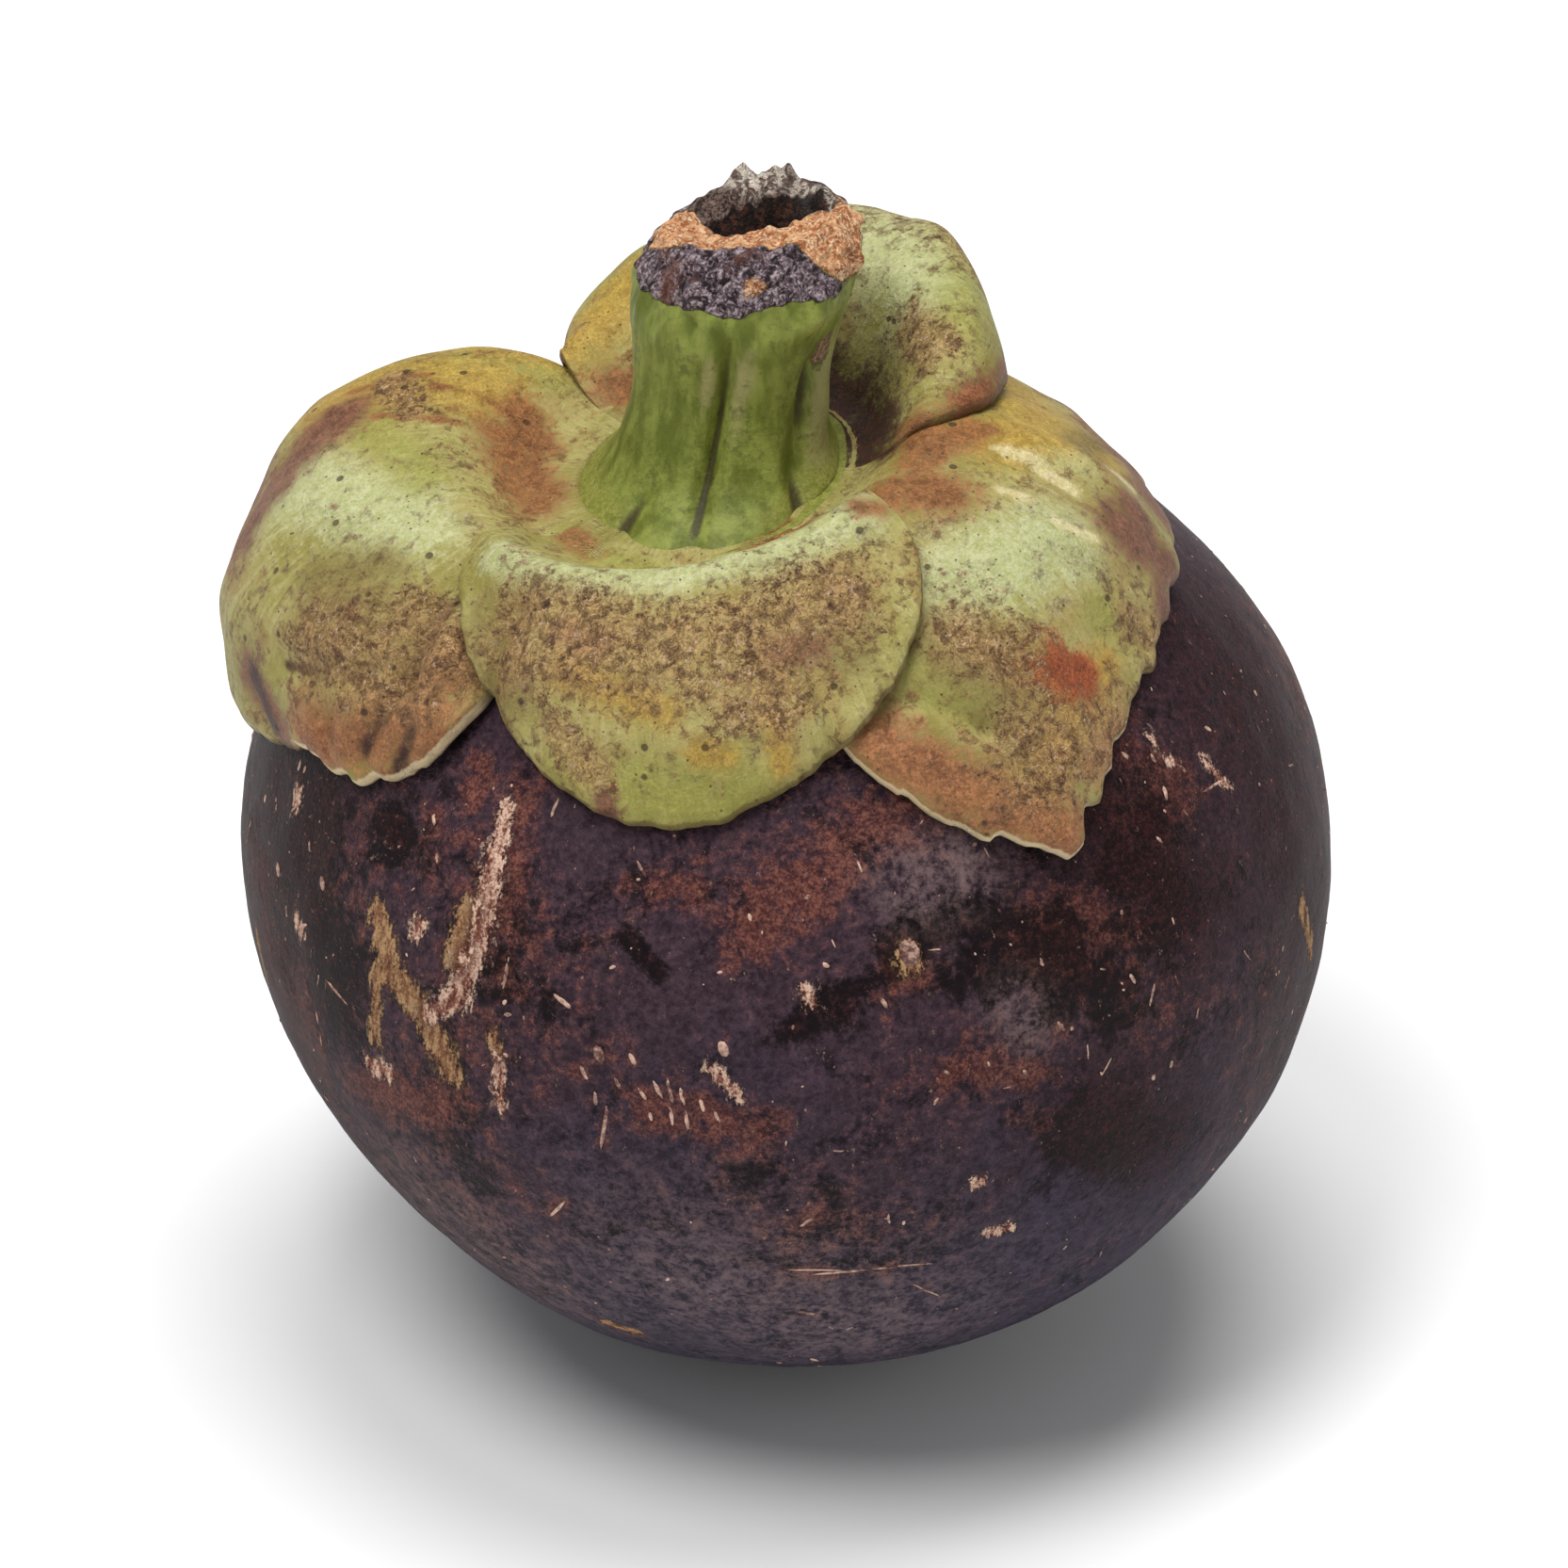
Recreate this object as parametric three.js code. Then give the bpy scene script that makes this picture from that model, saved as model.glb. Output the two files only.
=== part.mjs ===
// A mangosteen as picked: a round, thick-skinned fruit that stands on the woody rosette of its stigma, with a
// short stout stem in a shallow hollow on top and four leathery calyx lobes cupped over its shoulders.
// Millimetres, +Z up. The origin is the middle of the rosette's flat underside, and -Y is the front.
import * as THREE from "three";

const DEG = Math.PI / 180;

// Driving dimensions, in millimetres and degrees. Azimuths count from +X towards +Y.
const RIND = {
  heart: new THREE.Vector3(-1.3, 0, 28.7), // the middle of the fruit, which leans a little to the left
  halfWidth: 30,
  crown: 27.9, // from the heart to the top, as it would be without the hollow round the stem
  foot: 28.2,
  seat: 1.4, // height of the flat underside, over the rosette
  seatBlend: 0.25,
};
// Where the skin swells or sinks: the place, by how much, and over what spread.
const SWELLS = [
  { azimuth: 5, polar: 98, height: 0.8, spread: 42 }, // full right cheek
  { azimuth: 35, polar: 48, height: -0.9, spread: 24 }, // low right shoulder
  { azimuth: 195, polar: 130, height: -1.3, spread: 30 }, // slack lower left
  { azimuth: 310, polar: 118, height: 0.5, spread: 30 }, // heavy lower front
  { azimuth: 110, polar: 95, height: -0.5, spread: 36 }, // flattened back
];
const CALYX = {
  axis: new THREE.Vector3(-0.171, -0.0625, 0.983).normalize(), // from the heart to the foot of the stem
  hollowDepth: 3.2,
  hollowSpread: 22,
  root: 17.5, // polar angle from the axis at which the lobes begin, round the foot of the stem
  rootThickness: 0.6,
  parting: [18.2, 25.4], // polar angles between which a lobe rises from its thin root to its full form
  // the front lobe parts further out by so much, round this azimuth and within this spread
  frontParting: { further: 2, azimuth: 264, spread: 42 },
  clearance: 0.35, // between one piece and the next
  underlap: 6, // past a lobe's edge, the lobe over it comes down to the skin within this angle at the heart
};
// Each lobe's rim, from one side of the root to the other: azimuth round the calyx axis and polar angle
// from it. Its form: how high it is domed over the skin, where across and along it the dome is highest, how
// sharply it falls to the sides, how soon it rises from the root (below 1 is sooner), and how thick it is
// in the middle and at the rim.
const LOBES = {
  calyx_lobe_left: {
    rim: [
      [122, 24], [129, 42], [145, 55], [162, 62], [182, 62],
      [203, 54.5], [216, 53], [229, 44], [234, 24],
    ],
    dome: 4.8, across: -0.42, along: 0.55, side: 1.8, rise: 0.65, thick: 1.7, thin: 0.9,
  },
  calyx_lobe_right: {
    rim: [
      [-74, 24], [-72, 45], [-63, 57], [-55, 63.2], [-50, 67.2], [-45.5, 64.2],
      [-35, 60], [-16, 57], [8, 56], [30, 53], [45, 42], [50, 24],
    ],
    dome: 2.2, across: -0.35, along: 0.45, side: 1.7, rise: 0.6, thick: 1.6, thin: 0.8,
  },
  calyx_lobe_front: {
    rim: [
      [211, 22], [216, 29], [230, 38], [247, 47], [265, 51.5],
      [284, 48], [301, 42], [314, 33], [318, 22],
    ],
    dome: 2.6, across: 0, along: 0.31, side: 3, rise: 0.5, thick: 1.9, thin: 1.1,
  },
  calyx_lobe_back: {
    rim: [
      [-12, 24], [0, 32], [15, 37], [34, 40.5], [60, 46],
      [85, 48.5], [106, 43], [120, 34], [129, 22],
    ],
    dome: 6.4, across: 0, along: 0.58, side: 2.2, rise: 0.8, thick: 1.8, thin: 0.9,
  },
};
const INNER_PAIR = ["calyx_lobe_left", "calyx_lobe_right"]; // the other two lie over the edges of these
const STEM = {
  height: 15,
  lean: new THREE.Vector2(2.9, 2.4), // how far the top stands to the right of the foot and behind it
  leanCurve: new THREE.Vector2(0.6, 1.3), // below 1 it leans soonest near the foot, above 1 near the top
  // radius at each share of the height: a flared foot, a waist, and a thick collar at the broken end
  profile: [
    [0, 7.6], [0.06, 7.1], [0.17, 6], [0.3, 5.6], [0.45, 5.4], [0.62, 5.8], [0.76, 6.2], [0.9, 6], [1, 5],
  ],
  sole: [0.4, 0.75, 1], // rings of the underside, as shares of the foot's radius
  furrow: 0.7, // depth of the furrow down the front, which runs out at the foot and under the collar
  furrowEnd: 0.77, // share of the height
  furrowSpread: 9,
  furrowAzimuth: 262,
  cup: [[4.2, 0.3], [2.4, 0.9], [0, 1.1]], // the hollow in the broken end, as radius and depth
  highSide: 0.9, // how much higher the broken end stands at the front than in its middle
  highCurve: 6, // how soon below the broken end that is gone
  highAzimuth: 270,
};
const ROSETTE = { lobes: 6, radius: 6.2, notch: 3.6, halfAngle: 25, roundness: 0.12, thickness: 1.05 };
// How many faces each form has along each of its ways.
const FACES = {
  rindAround: 48,
  rindDown: 26,
  lobeAcross: 28,
  lobeAlong: 16,
  rimSteps: 80,
  stemAround: 28,
  stemUp: 14,
  rosetteEnd: 10,
};

// The unit direction at an azimuth and a polar angle from +Z.
function direction(azimuth, polar) {
  const [turn, tip] = [azimuth * DEG, polar * DEG];
  return new THREE.Vector3(Math.sin(tip) * Math.cos(turn), Math.sin(tip) * Math.sin(turn), Math.cos(tip));
}

// The same, counted round the calyx axis instead.
const CALYX_TURN = new THREE.Quaternion().setFromUnitVectors(new THREE.Vector3(0, 0, 1), CALYX.axis);
function calyxDirection(azimuth, polar) {
  return direction(azimuth, polar).applyQuaternion(CALYX_TURN);
}

// 1 at the middle, falling smoothly to nothing past the spread.
function swelling(towards, middle, spread) {
  return Math.exp(-((towards.angleTo(middle) / DEG / spread) ** 2));
}

// How far the skin is from the heart in a direction.
function rindRadius(towards) {
  const polarHalf = towards.z > 0 ? RIND.crown : RIND.foot;
  let radius = 1 / Math.hypot(Math.hypot(towards.x, towards.y) / RIND.halfWidth, towards.z / polarHalf);
  for (const swell of SWELLS) {
    radius += swell.height * swelling(towards, direction(swell.azimuth, swell.polar), swell.spread);
  }
  return radius - CALYX.hollowDepth * swelling(towards, CALYX.axis, CALYX.hollowSpread);
}

// The point that stands a height off the skin in a direction from the heart.
function offSkin(towards, height) {
  return towards.clone().multiplyScalar(rindRadius(towards) + height).add(RIND.heart);
}

// A closed body from rings of points, each ring the same length, drawn together to a point at either end.
function bodyOfRings(first, rings, last) {
  const around = rings[0].length;
  const points = [first, ...rings.flat(), last];
  const faces = [];
  const at = (ring, step) => 1 + ring * around + (step % around);
  for (let step = 0; step < around; step++) {
    faces.push(0, at(0, step + 1), at(0, step));
    for (let ring = 0; ring + 1 < rings.length; ring++) {
      faces.push(at(ring, step), at(ring, step + 1), at(ring + 1, step + 1));
      faces.push(at(ring, step), at(ring + 1, step + 1), at(ring + 1, step));
    }
    faces.push(points.length - 1, at(rings.length - 1, step), at(rings.length - 1, step + 1));
  }
  return meshData(points, faces);
}

// A closed sheet from two grids of points of the same size, its outer face and its inner one.
function bodyOfSheet(outer, inner) {
  const columns = outer.length;
  const rows = outer[0].length;
  const points = [...outer.flat(), ...inner.flat()];
  const faces = [];
  const at = (column, row, side) => side * columns * rows + column * rows + row;
  const quad = (a, b, c, d) => faces.push(a, b, c, a, c, d);
  for (let column = 0; column + 1 < columns; column++) {
    for (let row = 0; row + 1 < rows; row++) {
      quad(at(column, row, 0), at(column, row + 1, 0), at(column + 1, row + 1, 0), at(column + 1, row, 0));
      quad(at(column, row, 1), at(column + 1, row, 1), at(column + 1, row + 1, 1), at(column, row + 1, 1));
    }
  }
  const border = [];
  for (let column = 0; column + 1 < columns; column++) border.push([column, 0]);
  for (let row = 0; row + 1 < rows; row++) border.push([columns - 1, row]);
  for (let column = columns - 1; column > 0; column--) border.push([column, rows - 1]);
  for (let row = rows - 1; row > 0; row--) border.push([0, row]);
  border.forEach(([column, row], index) => {
    const [nextColumn, nextRow] = border[(index + 1) % border.length];
    quad(at(column, row, 0), at(nextColumn, nextRow, 0), at(nextColumn, nextRow, 1), at(column, row, 1));
  });
  return meshData(points, faces);
}

function meshData(points, faces) {
  const geometry = new THREE.BufferGeometry().setFromPoints(points);
  geometry.setIndex(faces);
  geometry.computeVertexNormals();
  return geometry;
}

// The fruit itself, in rings about the calyx axis, with its underside flat over the rosette.
function makeRind() {
  const skin = (azimuth, polar) => {
    const point = offSkin(calyxDirection(azimuth, polar), 0);
    point.z = RIND.seat + RIND.seatBlend * Math.log1p(Math.exp((point.z - RIND.seat) / RIND.seatBlend));
    return point;
  };
  const rings = [];
  for (let row = 1; row < FACES.rindDown; row++) {
    const ring = [];
    for (let step = 0; step < FACES.rindAround; step++) {
      ring.push(skin((360 * step) / FACES.rindAround, (180 * row) / FACES.rindDown));
    }
    rings.push(ring);
  }
  return bodyOfRings(skin(0, 0), rings.map((ring) => ring.reverse()), skin(0, 180));
}

// A lobe's rim as points evenly spaced along a smooth line: x is azimuth and y polar angle.
function rimLine(lobe, spaces) {
  return smoothLine(lobe.rim).getSpacedPoints(spaces);
}

function smoothLine(pairs) {
  return new THREE.SplineCurve(pairs.map(([x, y]) => new THREE.Vector2(x, y)));
}

// How far out the rim lies at an azimuth, held level past the lobe's sides.
function rimAt(lobe, azimuth) {
  lobe.line ??= rimLine(lobe, FACES.rimSteps);
  const past = lobe.line.findIndex((point) => point.x > azimuth);
  if (past === 0) return lobe.line[0].y;
  if (past < 0) return lobe.line[lobe.line.length - 1].y;
  const [a, b] = [lobe.line[past - 1], lobe.line[past]];
  return THREE.MathUtils.mapLinear(azimuth, a.x, b.x, a.y, b.y);
}

// The turn from one azimuth to another, between -180 and 180.
function turnBetween(azimuth, from) {
  return THREE.MathUtils.euclideanModulo(azimuth - from + 180, 360) - 180;
}

// Where a direction round the calyx axis falls on a lobe: across it from -1 to 1 at its sides, and along it
// from 0 at the root to 1 at the rim.
function placeOnLobe(lobe, azimuth, polar) {
  const first = lobe.rim[0][0];
  const last = lobe.rim[lobe.rim.length - 1][0];
  const middle = (first + last) / 2;
  const turned = middle + turnBetween(azimuth, middle);
  const halfSpread = (last - first) / 2;
  const length = rimAt(lobe, turned) - CALYX.root;
  const along = (polar - CALYX.root) / length;
  return { across: (turned - middle) / halfSpread, along, halfSpread, length };
}

// 0 where the lobes are a thin root round the foot of the stem, and 1 where each has its full form.
function parted(azimuth, polar) {
  const { further, azimuth: middle, spread } = CALYX.frontParting;
  const more = further * Math.exp(-((turnBetween(azimuth, middle) / spread) ** 4));
  return THREE.MathUtils.smoothstep(polar, CALYX.parting[0] + more, CALYX.parting[1] + more * 0.4);
}

// How high the inner face of a lobe is domed, and how thick the lobe is there.
function lobeForm(lobe, across, along, free) {
  const aside = (across - lobe.across) / (Math.sign(across - lobe.across) - lobe.across);
  const overWidth = 1 - Math.abs(aside) ** lobe.side;
  const overLength = Math.sin(Math.PI * along ** (Math.log(0.5) / Math.log(lobe.along)));
  const share = Math.max(overWidth, 0) * Math.max(overLength, 0) ** (along < lobe.along ? lobe.rise : 1);
  const full = lobe.thin + (lobe.thick - lobe.thin) * share;
  return { dome: lobe.dome * share * free, thickness: THREE.MathUtils.lerp(CALYX.rootThickness, full, free) };
}

// How high off the skin the lobes of the inner pair hold up whatever lies over them.
function heldUp(azimuth, polar) {
  let height = 0;
  for (const name of INNER_PAIR) {
    const lobe = LOBES[name];
    const { across, along, halfSpread, length } = placeOnLobe(lobe, azimuth, polar);
    const pastSide = Math.max(Math.abs(across) - 1, 0) * halfSpread * Math.sin(polar * DEG);
    const past = Math.hypot(pastSide, Math.max(along - 1, 0) * length);
    const within = [THREE.MathUtils.clamp(across, -1, 1), THREE.MathUtils.clamp(along, 0, 1)];
    const { dome, thickness } = lobeForm(lobe, ...within, parted(azimuth, polar));
    const cover = 1 - THREE.MathUtils.smoothstep(past, CALYX.underlap / 3, CALYX.underlap);
    height = Math.max(height, cover * (CALYX.clearance + dome + thickness));
  }
  return height;
}

function makeLobe(name) {
  const lobe = LOBES[name];
  const outer = [];
  const inner = [];
  for (const rim of rimLine(lobe, FACES.lobeAcross)) {
    const outerColumn = [];
    const innerColumn = [];
    for (let row = 0; row <= FACES.lobeAlong; row++) {
      const polar = CALYX.root + ((rim.y - CALYX.root) * row) / FACES.lobeAlong;
      const { across, along } = placeOnLobe(lobe, rim.x, polar);
      const { dome, thickness } = lobeForm(lobe, across, along, parted(rim.x, polar));
      const under = INNER_PAIR.includes(name) ? 0 : heldUp(rim.x, polar);
      const towards = calyxDirection(rim.x, polar);
      const height = CALYX.clearance + Math.hypot(dome, under);
      innerColumn.push(offSkin(towards, height));
      outerColumn.push(offSkin(towards, height + thickness));
    }
    outer.push(outerColumn);
    inner.push(innerColumn);
  }
  return bodyOfSheet(outer, inner);
}

// A point of the stem, at a share of its height. Its rings are square to the calyx axis and lean as they
// rise.
function stemPoint(share, radius, azimuth) {
  const fromFurrow = turnBetween(azimuth, STEM.furrowAzimuth) / STEM.furrowSpread;
  const furrowed = Math.max(Math.sin((Math.PI * share) / STEM.furrowEnd), 0) * (share < STEM.furrowEnd);
  const furrow = STEM.furrow * Math.exp(-(fromFurrow ** 2)) * Math.sqrt(furrowed);
  const point = calyxDirection(azimuth, 90).multiplyScalar(radius - furrow);
  point.add(offSkin(CALYX.axis, CALYX.clearance));
  point.x += STEM.lean.x * share ** STEM.leanCurve.x;
  point.y += STEM.lean.y * share ** STEM.leanCurve.y;
  const toHighSide = Math.cos((azimuth - STEM.highAzimuth) * DEG);
  point.z += STEM.height * share + STEM.highSide * toHighSide * share ** STEM.highCurve;
  return point;
}

// A point of the sole of the stem, which follows the skin below it.
function solePoint(share, azimuth) {
  const foot = stemPoint(0, share * STEM.profile[0][1], azimuth);
  return offSkin(foot.sub(RIND.heart).normalize(), CALYX.clearance);
}

function makeStem() {
  const ring = (pointAt) => {
    return Array.from({ length: FACES.stemAround }, (_, step) => pointAt((360 * step) / FACES.stemAround));
  };
  const levels = smoothLine(STEM.profile).getSpacedPoints(FACES.stemUp).slice(1);
  const cupPoint = (radius, depth, azimuth) => {
    const point = stemPoint(1, radius, azimuth);
    point.z -= depth;
    return point;
  };
  const cupRings = STEM.cup.slice(0, -1);
  const [cupRadius, cupDepth] = STEM.cup[STEM.cup.length - 1];
  const rings = [
    ...STEM.sole.map((share) => ring((azimuth) => solePoint(share, azimuth))),
    ...levels.map((level) => ring((azimuth) => stemPoint(level.x, level.y, azimuth))),
    ...cupRings.map(([radius, depth]) => ring((azimuth) => cupPoint(radius, depth, azimuth))),
  ];
  return bodyOfRings(solePoint(0, 0), rings, cupPoint(cupRadius, cupDepth, 0));
}

// The woody rosette: flat wedges, one to each segment inside the fruit, joined in the middle.
function makeRosette() {
  const corners = [];
  const addCorner = (radius, angle) => {
    corners.push(new THREE.Vector2(radius * Math.cos(angle * DEG), radius * Math.sin(angle * DEG)));
  };
  const share = 360 / ROSETTE.lobes;
  for (let middle = 0; middle < 360; middle += share) {
    addCorner(ROSETTE.notch, middle - share / 2);
    for (let step = 0; step <= FACES.rosetteEnd; step++) {
      const aside = (2 * step) / FACES.rosetteEnd - 1;
      addCorner(ROSETTE.radius * (1 - ROSETTE.roundness * aside ** 4), middle + ROSETTE.halfAngle * aside);
    }
  }
  const outline = new THREE.Shape(corners);
  return new THREE.ExtrudeGeometry(outline, { depth: ROSETTE.thickness, bevelEnabled: false });
}

const RIND_SKIN = new THREE.MeshStandardMaterial({ color: "#46333a", roughness: 0.45, metalness: 0 });
const LOBE_LEATHER = new THREE.MeshStandardMaterial({ color: "#a9a570", roughness: 0.6, metalness: 0 });
const STEM_GREEN = new THREE.MeshStandardMaterial({ color: "#66702f", roughness: 0.6, metalness: 0 });
const ROSETTE_CORK = new THREE.MeshStandardMaterial({ color: "#4a342b", roughness: 0.8, metalness: 0 });

const mangosteen = new THREE.Group();
function add(name, geometry, material) {
  const piece = new THREE.Mesh(geometry, material);
  piece.name = name;
  mangosteen.add(piece);
}
add("rind", makeRind(), RIND_SKIN);
for (const name of Object.keys(LOBES)) add(name, makeLobe(name), LOBE_LEATHER);
add("stem", makeStem(), STEM_GREEN);
add("stigma_rosette", makeRosette(), ROSETTE_CORK);

export default mangosteen;
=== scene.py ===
import math

import bpy
import numpy as np
from mathutils import Matrix, Vector, noise


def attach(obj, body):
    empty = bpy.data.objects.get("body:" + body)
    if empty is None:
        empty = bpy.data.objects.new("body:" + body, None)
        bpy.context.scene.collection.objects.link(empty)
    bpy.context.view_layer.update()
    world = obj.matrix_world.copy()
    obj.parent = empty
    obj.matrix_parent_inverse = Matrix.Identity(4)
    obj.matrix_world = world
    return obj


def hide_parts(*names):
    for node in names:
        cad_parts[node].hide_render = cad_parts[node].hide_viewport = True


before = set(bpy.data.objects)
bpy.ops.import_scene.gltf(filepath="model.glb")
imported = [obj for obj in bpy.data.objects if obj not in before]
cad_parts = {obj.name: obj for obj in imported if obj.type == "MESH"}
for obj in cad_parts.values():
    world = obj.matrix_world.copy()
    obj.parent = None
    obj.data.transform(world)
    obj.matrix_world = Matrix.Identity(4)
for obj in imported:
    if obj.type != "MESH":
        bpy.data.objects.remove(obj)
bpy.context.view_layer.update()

# The fruit itself: a thick rind round white segments, nearly a ball, with a shallow hollow where it hung
# and a flat place below. The skin is smooth and leathery, dark purple over brown, with a faint bloom low
# down that is partly painted light bounced up from the floor, painted shade on its sides and painted sheen
# in greyish patches, and it has corky scars where the wind rubbed it against twigs and leaves.
MM = 0.001
HEART = np.array([-1.3, 0.0, 28.7]) * MM
RIND_SIZES = {
    "Half width": 30 * MM,
    "Crown": 27.9 * MM,  # from the heart to the top
    "Foot": 28.2 * MM,  # from the heart to the bottom
    "Seat": 1.4 * MM,  # how high above the ground it is flattened
    "Hollow depth": 3.2 * MM,
    "Unevenness": 0.35 * MM,
    "Dimples": 0.07 * MM,
}
RIND_DETAIL = 7  # how many times the ball that it is shaped from is divided
HOLLOW_SPREAD = 22  # degrees
HOLLOW_AXIS = Vector((-0.171, -0.0625, 0.983)).normalized()
# Where the skin swells or sinks: azimuth and polar angle, height, and spread in degrees.
SWELLS = [
    (5, 98, 0.8 * MM, 42),
    (35, 48, -0.9 * MM, 24),
    (195, 130, -1.3 * MM, 30),
    (310, 118, 0.5 * MM, 30),
    (110, 95, -0.5 * MM, 36),
]


class Wire:
    """A socket of a node tree, with the sums and the further nodes that can be hung on it."""

    def __init__(self, tree, socket=None):
        self.tree, self.socket = tree, socket

    def add(self, kind, settings=(), inputs=(), output=0):
        """A new node of a kind. Its settings are set first, then its sockets, by name or by number."""
        node = self.tree.nodes.new(kind)
        for name, value in dict(settings).items():
            setattr(node, name, value)
        for name, value in dict(inputs).items():
            if isinstance(value, Wire):
                self.tree.links.new(value.socket, node.inputs[name])
            else:
                node.inputs[name].default_value = value
        return Wire(self.tree, node.outputs[output])

    def math(self, operation, *others):
        return self.add("ShaderNodeMath", {"operation": operation}, enumerate([self, *others]))

    def math_after(self, operation, other):
        """The same with the other value first."""
        return self.add("ShaderNodeMath", {"operation": operation}, {0: other, 1: self})

    def vector(self, operation, *others, **inputs):
        links = dict(enumerate([self, *others]))
        links |= {name.capitalize(): value for name, value in inputs.items()}
        return self.add("ShaderNodeVectorMath", {"operation": operation}, links)

    def parts(self):
        node = self.add("ShaderNodeSeparateXYZ", inputs={0: self}).socket.node
        return [Wire(self.tree, socket) for socket in node.outputs]

    def between(self, low, high):
        """0 below low and 1 above high, with a smooth rise. The other way round if low is the higher."""
        limits = {"Value": self, "From Min": low, "From Max": high}
        return self.add("ShaderNodeMapRange", {"interpolation_type": "SMOOTHSTEP"}, limits)

    def __add__(self, other):
        return self.math("ADD", other)

    def __sub__(self, other):
        return self.math("SUBTRACT", other)

    def __rsub__(self, other):
        return self.math_after("SUBTRACT", other)

    def __mul__(self, other):
        return self.math("MULTIPLY", other)

    def __truediv__(self, other):
        return self.math("DIVIDE", other)

    def __rtruediv__(self, other):
        return self.math_after("DIVIDE", other)

    def __pow__(self, other):
        return self.math("POWER", other)

    def __rpow__(self, other):
        return self.math_after("POWER", other)

    def __gt__(self, other):
        return self.math("GREATER_THAN", other)

    __radd__, __rmul__ = __add__, __mul__


def lay(base, colour, share):
    """A colour laid over a base colour by a share, which is a wire."""
    settings = {"data_type": "RGBA", "clamp_factor": True}
    return share.add("ShaderNodeMix", settings, {0: share, 6: base, 7: colour}, 2)


def paint(red, green, blue):
    """A colour as a paint chart gives it, 0 to 255, made as dark as the strong studio light needs it."""
    return (*(0.85 * ((part / 255 + 0.055) / 1.055) ** 2.4 for part in (red, green, blue)), 1)


def shades(dark, light, share):
    """Two paints, the lighter laid over the darker by a share."""
    return lay(paint(*dark), paint(*light), share)


def new_finish(name):
    """A material, the place on the piece in millimetres, and a function that closes it."""
    material = bpy.data.materials.new(name)
    material.use_nodes = True
    shader = material.node_tree.nodes["Principled BSDF"]
    place = Wire(material.node_tree).add("ShaderNodeTexCoord", output=3).vector("SCALE", scale=1 / MM)

    def close(colour, roughness, height, depth, **constants):
        """Joins up the colour, the roughness and a height in millimetres of relief."""
        bump = height.add("ShaderNodeBump", inputs={"Height": height, "Distance": depth * MM})
        for name, wire in {"Base Color": colour, "Roughness": roughness, "Normal": bump}.items():
            material.node_tree.links.new(wire.socket, shader.inputs[name])
        for name, value in constants.items():
            shader.inputs[name.replace("_", " ")].default_value = value
        return material

    return place, close


def grain(place, scale, detail=3, rough=0.55, twist=0):
    """Cloudy noise from 0 to 1, with scale patches to a millimetre."""
    sizes = {"Vector": place, "Scale": scale, "Detail": detail, "Roughness": rough, "Distortion": twist}
    return place.add("ShaderNodeTexNoise", inputs=sizes)


def stretched(place, x, y, z):
    return place.vector("MULTIPLY", (x, y, z))


def mark_strength(place, name):
    """How strongly a mark that was laid on the mesh shows."""
    return place.add("ShaderNodeAttribute", {"attribute_name": name}, output=2)


def new_form(name, sizes):
    """A node tree that makes a shape: the tree, and its named sizes as wires."""
    tree = bpy.data.node_groups.new(name, "GeometryNodeTree")
    tree.interface.new_socket("Form", in_out="OUTPUT", socket_type="NodeSocketGeometry")
    tree.interface.new_socket("Base", in_out="INPUT", socket_type="NodeSocketGeometry")
    for size in sizes:
        tree.interface.new_socket(size, in_out="INPUT", socket_type="NodeSocketFloat")
    entry = tree.nodes.new("NodeGroupInput")
    return tree, {socket.name: Wire(tree, socket) for socket in entry.outputs if socket.name}


def grow(name, form, sizes, material, base=None):
    """The plain mesh piece that a form's tree makes from a base mesh with these sizes."""
    tree = form.tree
    form = form.add("GeometryNodeRealizeInstances", inputs={0: form})
    form = form.add("GeometryNodeSetMaterial", inputs={0: form, "Material": material})
    tree.links.new(form.socket, tree.nodes.new("NodeGroupOutput").inputs[0])
    piece = bpy.data.objects.new(name, base or bpy.data.meshes.new(name))
    bpy.context.scene.collection.objects.link(piece)
    modifier = piece.modifiers.new("Form", "NODES")
    modifier.node_group = tree
    for item in tree.interface.items_tree:
        if item.in_out == "INPUT" and item.name in sizes:
            modifier[item.identifier] = sizes[item.name]
    seen = piece.evaluated_get(bpy.context.evaluated_depsgraph_get())
    mesh = bpy.data.meshes.new_from_object(seen)
    piece.modifiers.remove(modifier)
    piece.data = mesh
    piece.data.name = name
    return piece


def direction(azimuth, polar):
    turn, tip = np.radians(azimuth), np.radians(polar)
    return np.stack([np.sin(tip) * np.cos(turn), np.sin(tip) * np.sin(turn), np.cos(tip) + 0 * turn], -1)


def skin_reach(x, y, z, size, arccos=np.arccos):
    """How far the skin is from the heart in a direction, on numbers or on wires."""

    def swelling(middle, spread):
        cosine = x * float(middle[0]) + y * float(middle[1]) + z * float(middle[2])
        return math.e ** ((arccos(cosine * 0.999999) * math.degrees(1 / spread)) ** 2 * -1)

    end = size["Foot"] + (size["Crown"] - size["Foot"]) * (z > 0)
    reach = ((x * x + y * y) / size["Half width"] ** 2 + (z / end) ** 2) ** -0.5
    for azimuth, polar, height, spread in SWELLS:
        reach = reach + swelling(direction(azimuth, polar), spread) * height
    return reach - swelling(HOLLOW_AXIS, HOLLOW_SPREAD) * size["Hollow depth"]


def off_skin(towards, height):
    """The points that stand a height off the skin in directions from the heart."""
    reach = skin_reach(towards[..., 0], towards[..., 1], towards[..., 2], RIND_SIZES)
    return HEART + towards * (reach + height)[..., None]


def near(points, start, end, reach):
    """1 on the line from start to end, falling smoothly to nothing past the reach."""
    run = np.subtract(end, start)
    share = np.clip((points - start) @ run / max(run @ run, 1e-12), 0, 1)
    gap = np.linalg.norm(points - start - share[..., None] * run, axis=-1)
    return np.exp(-((gap / reach) ** 2))


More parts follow.
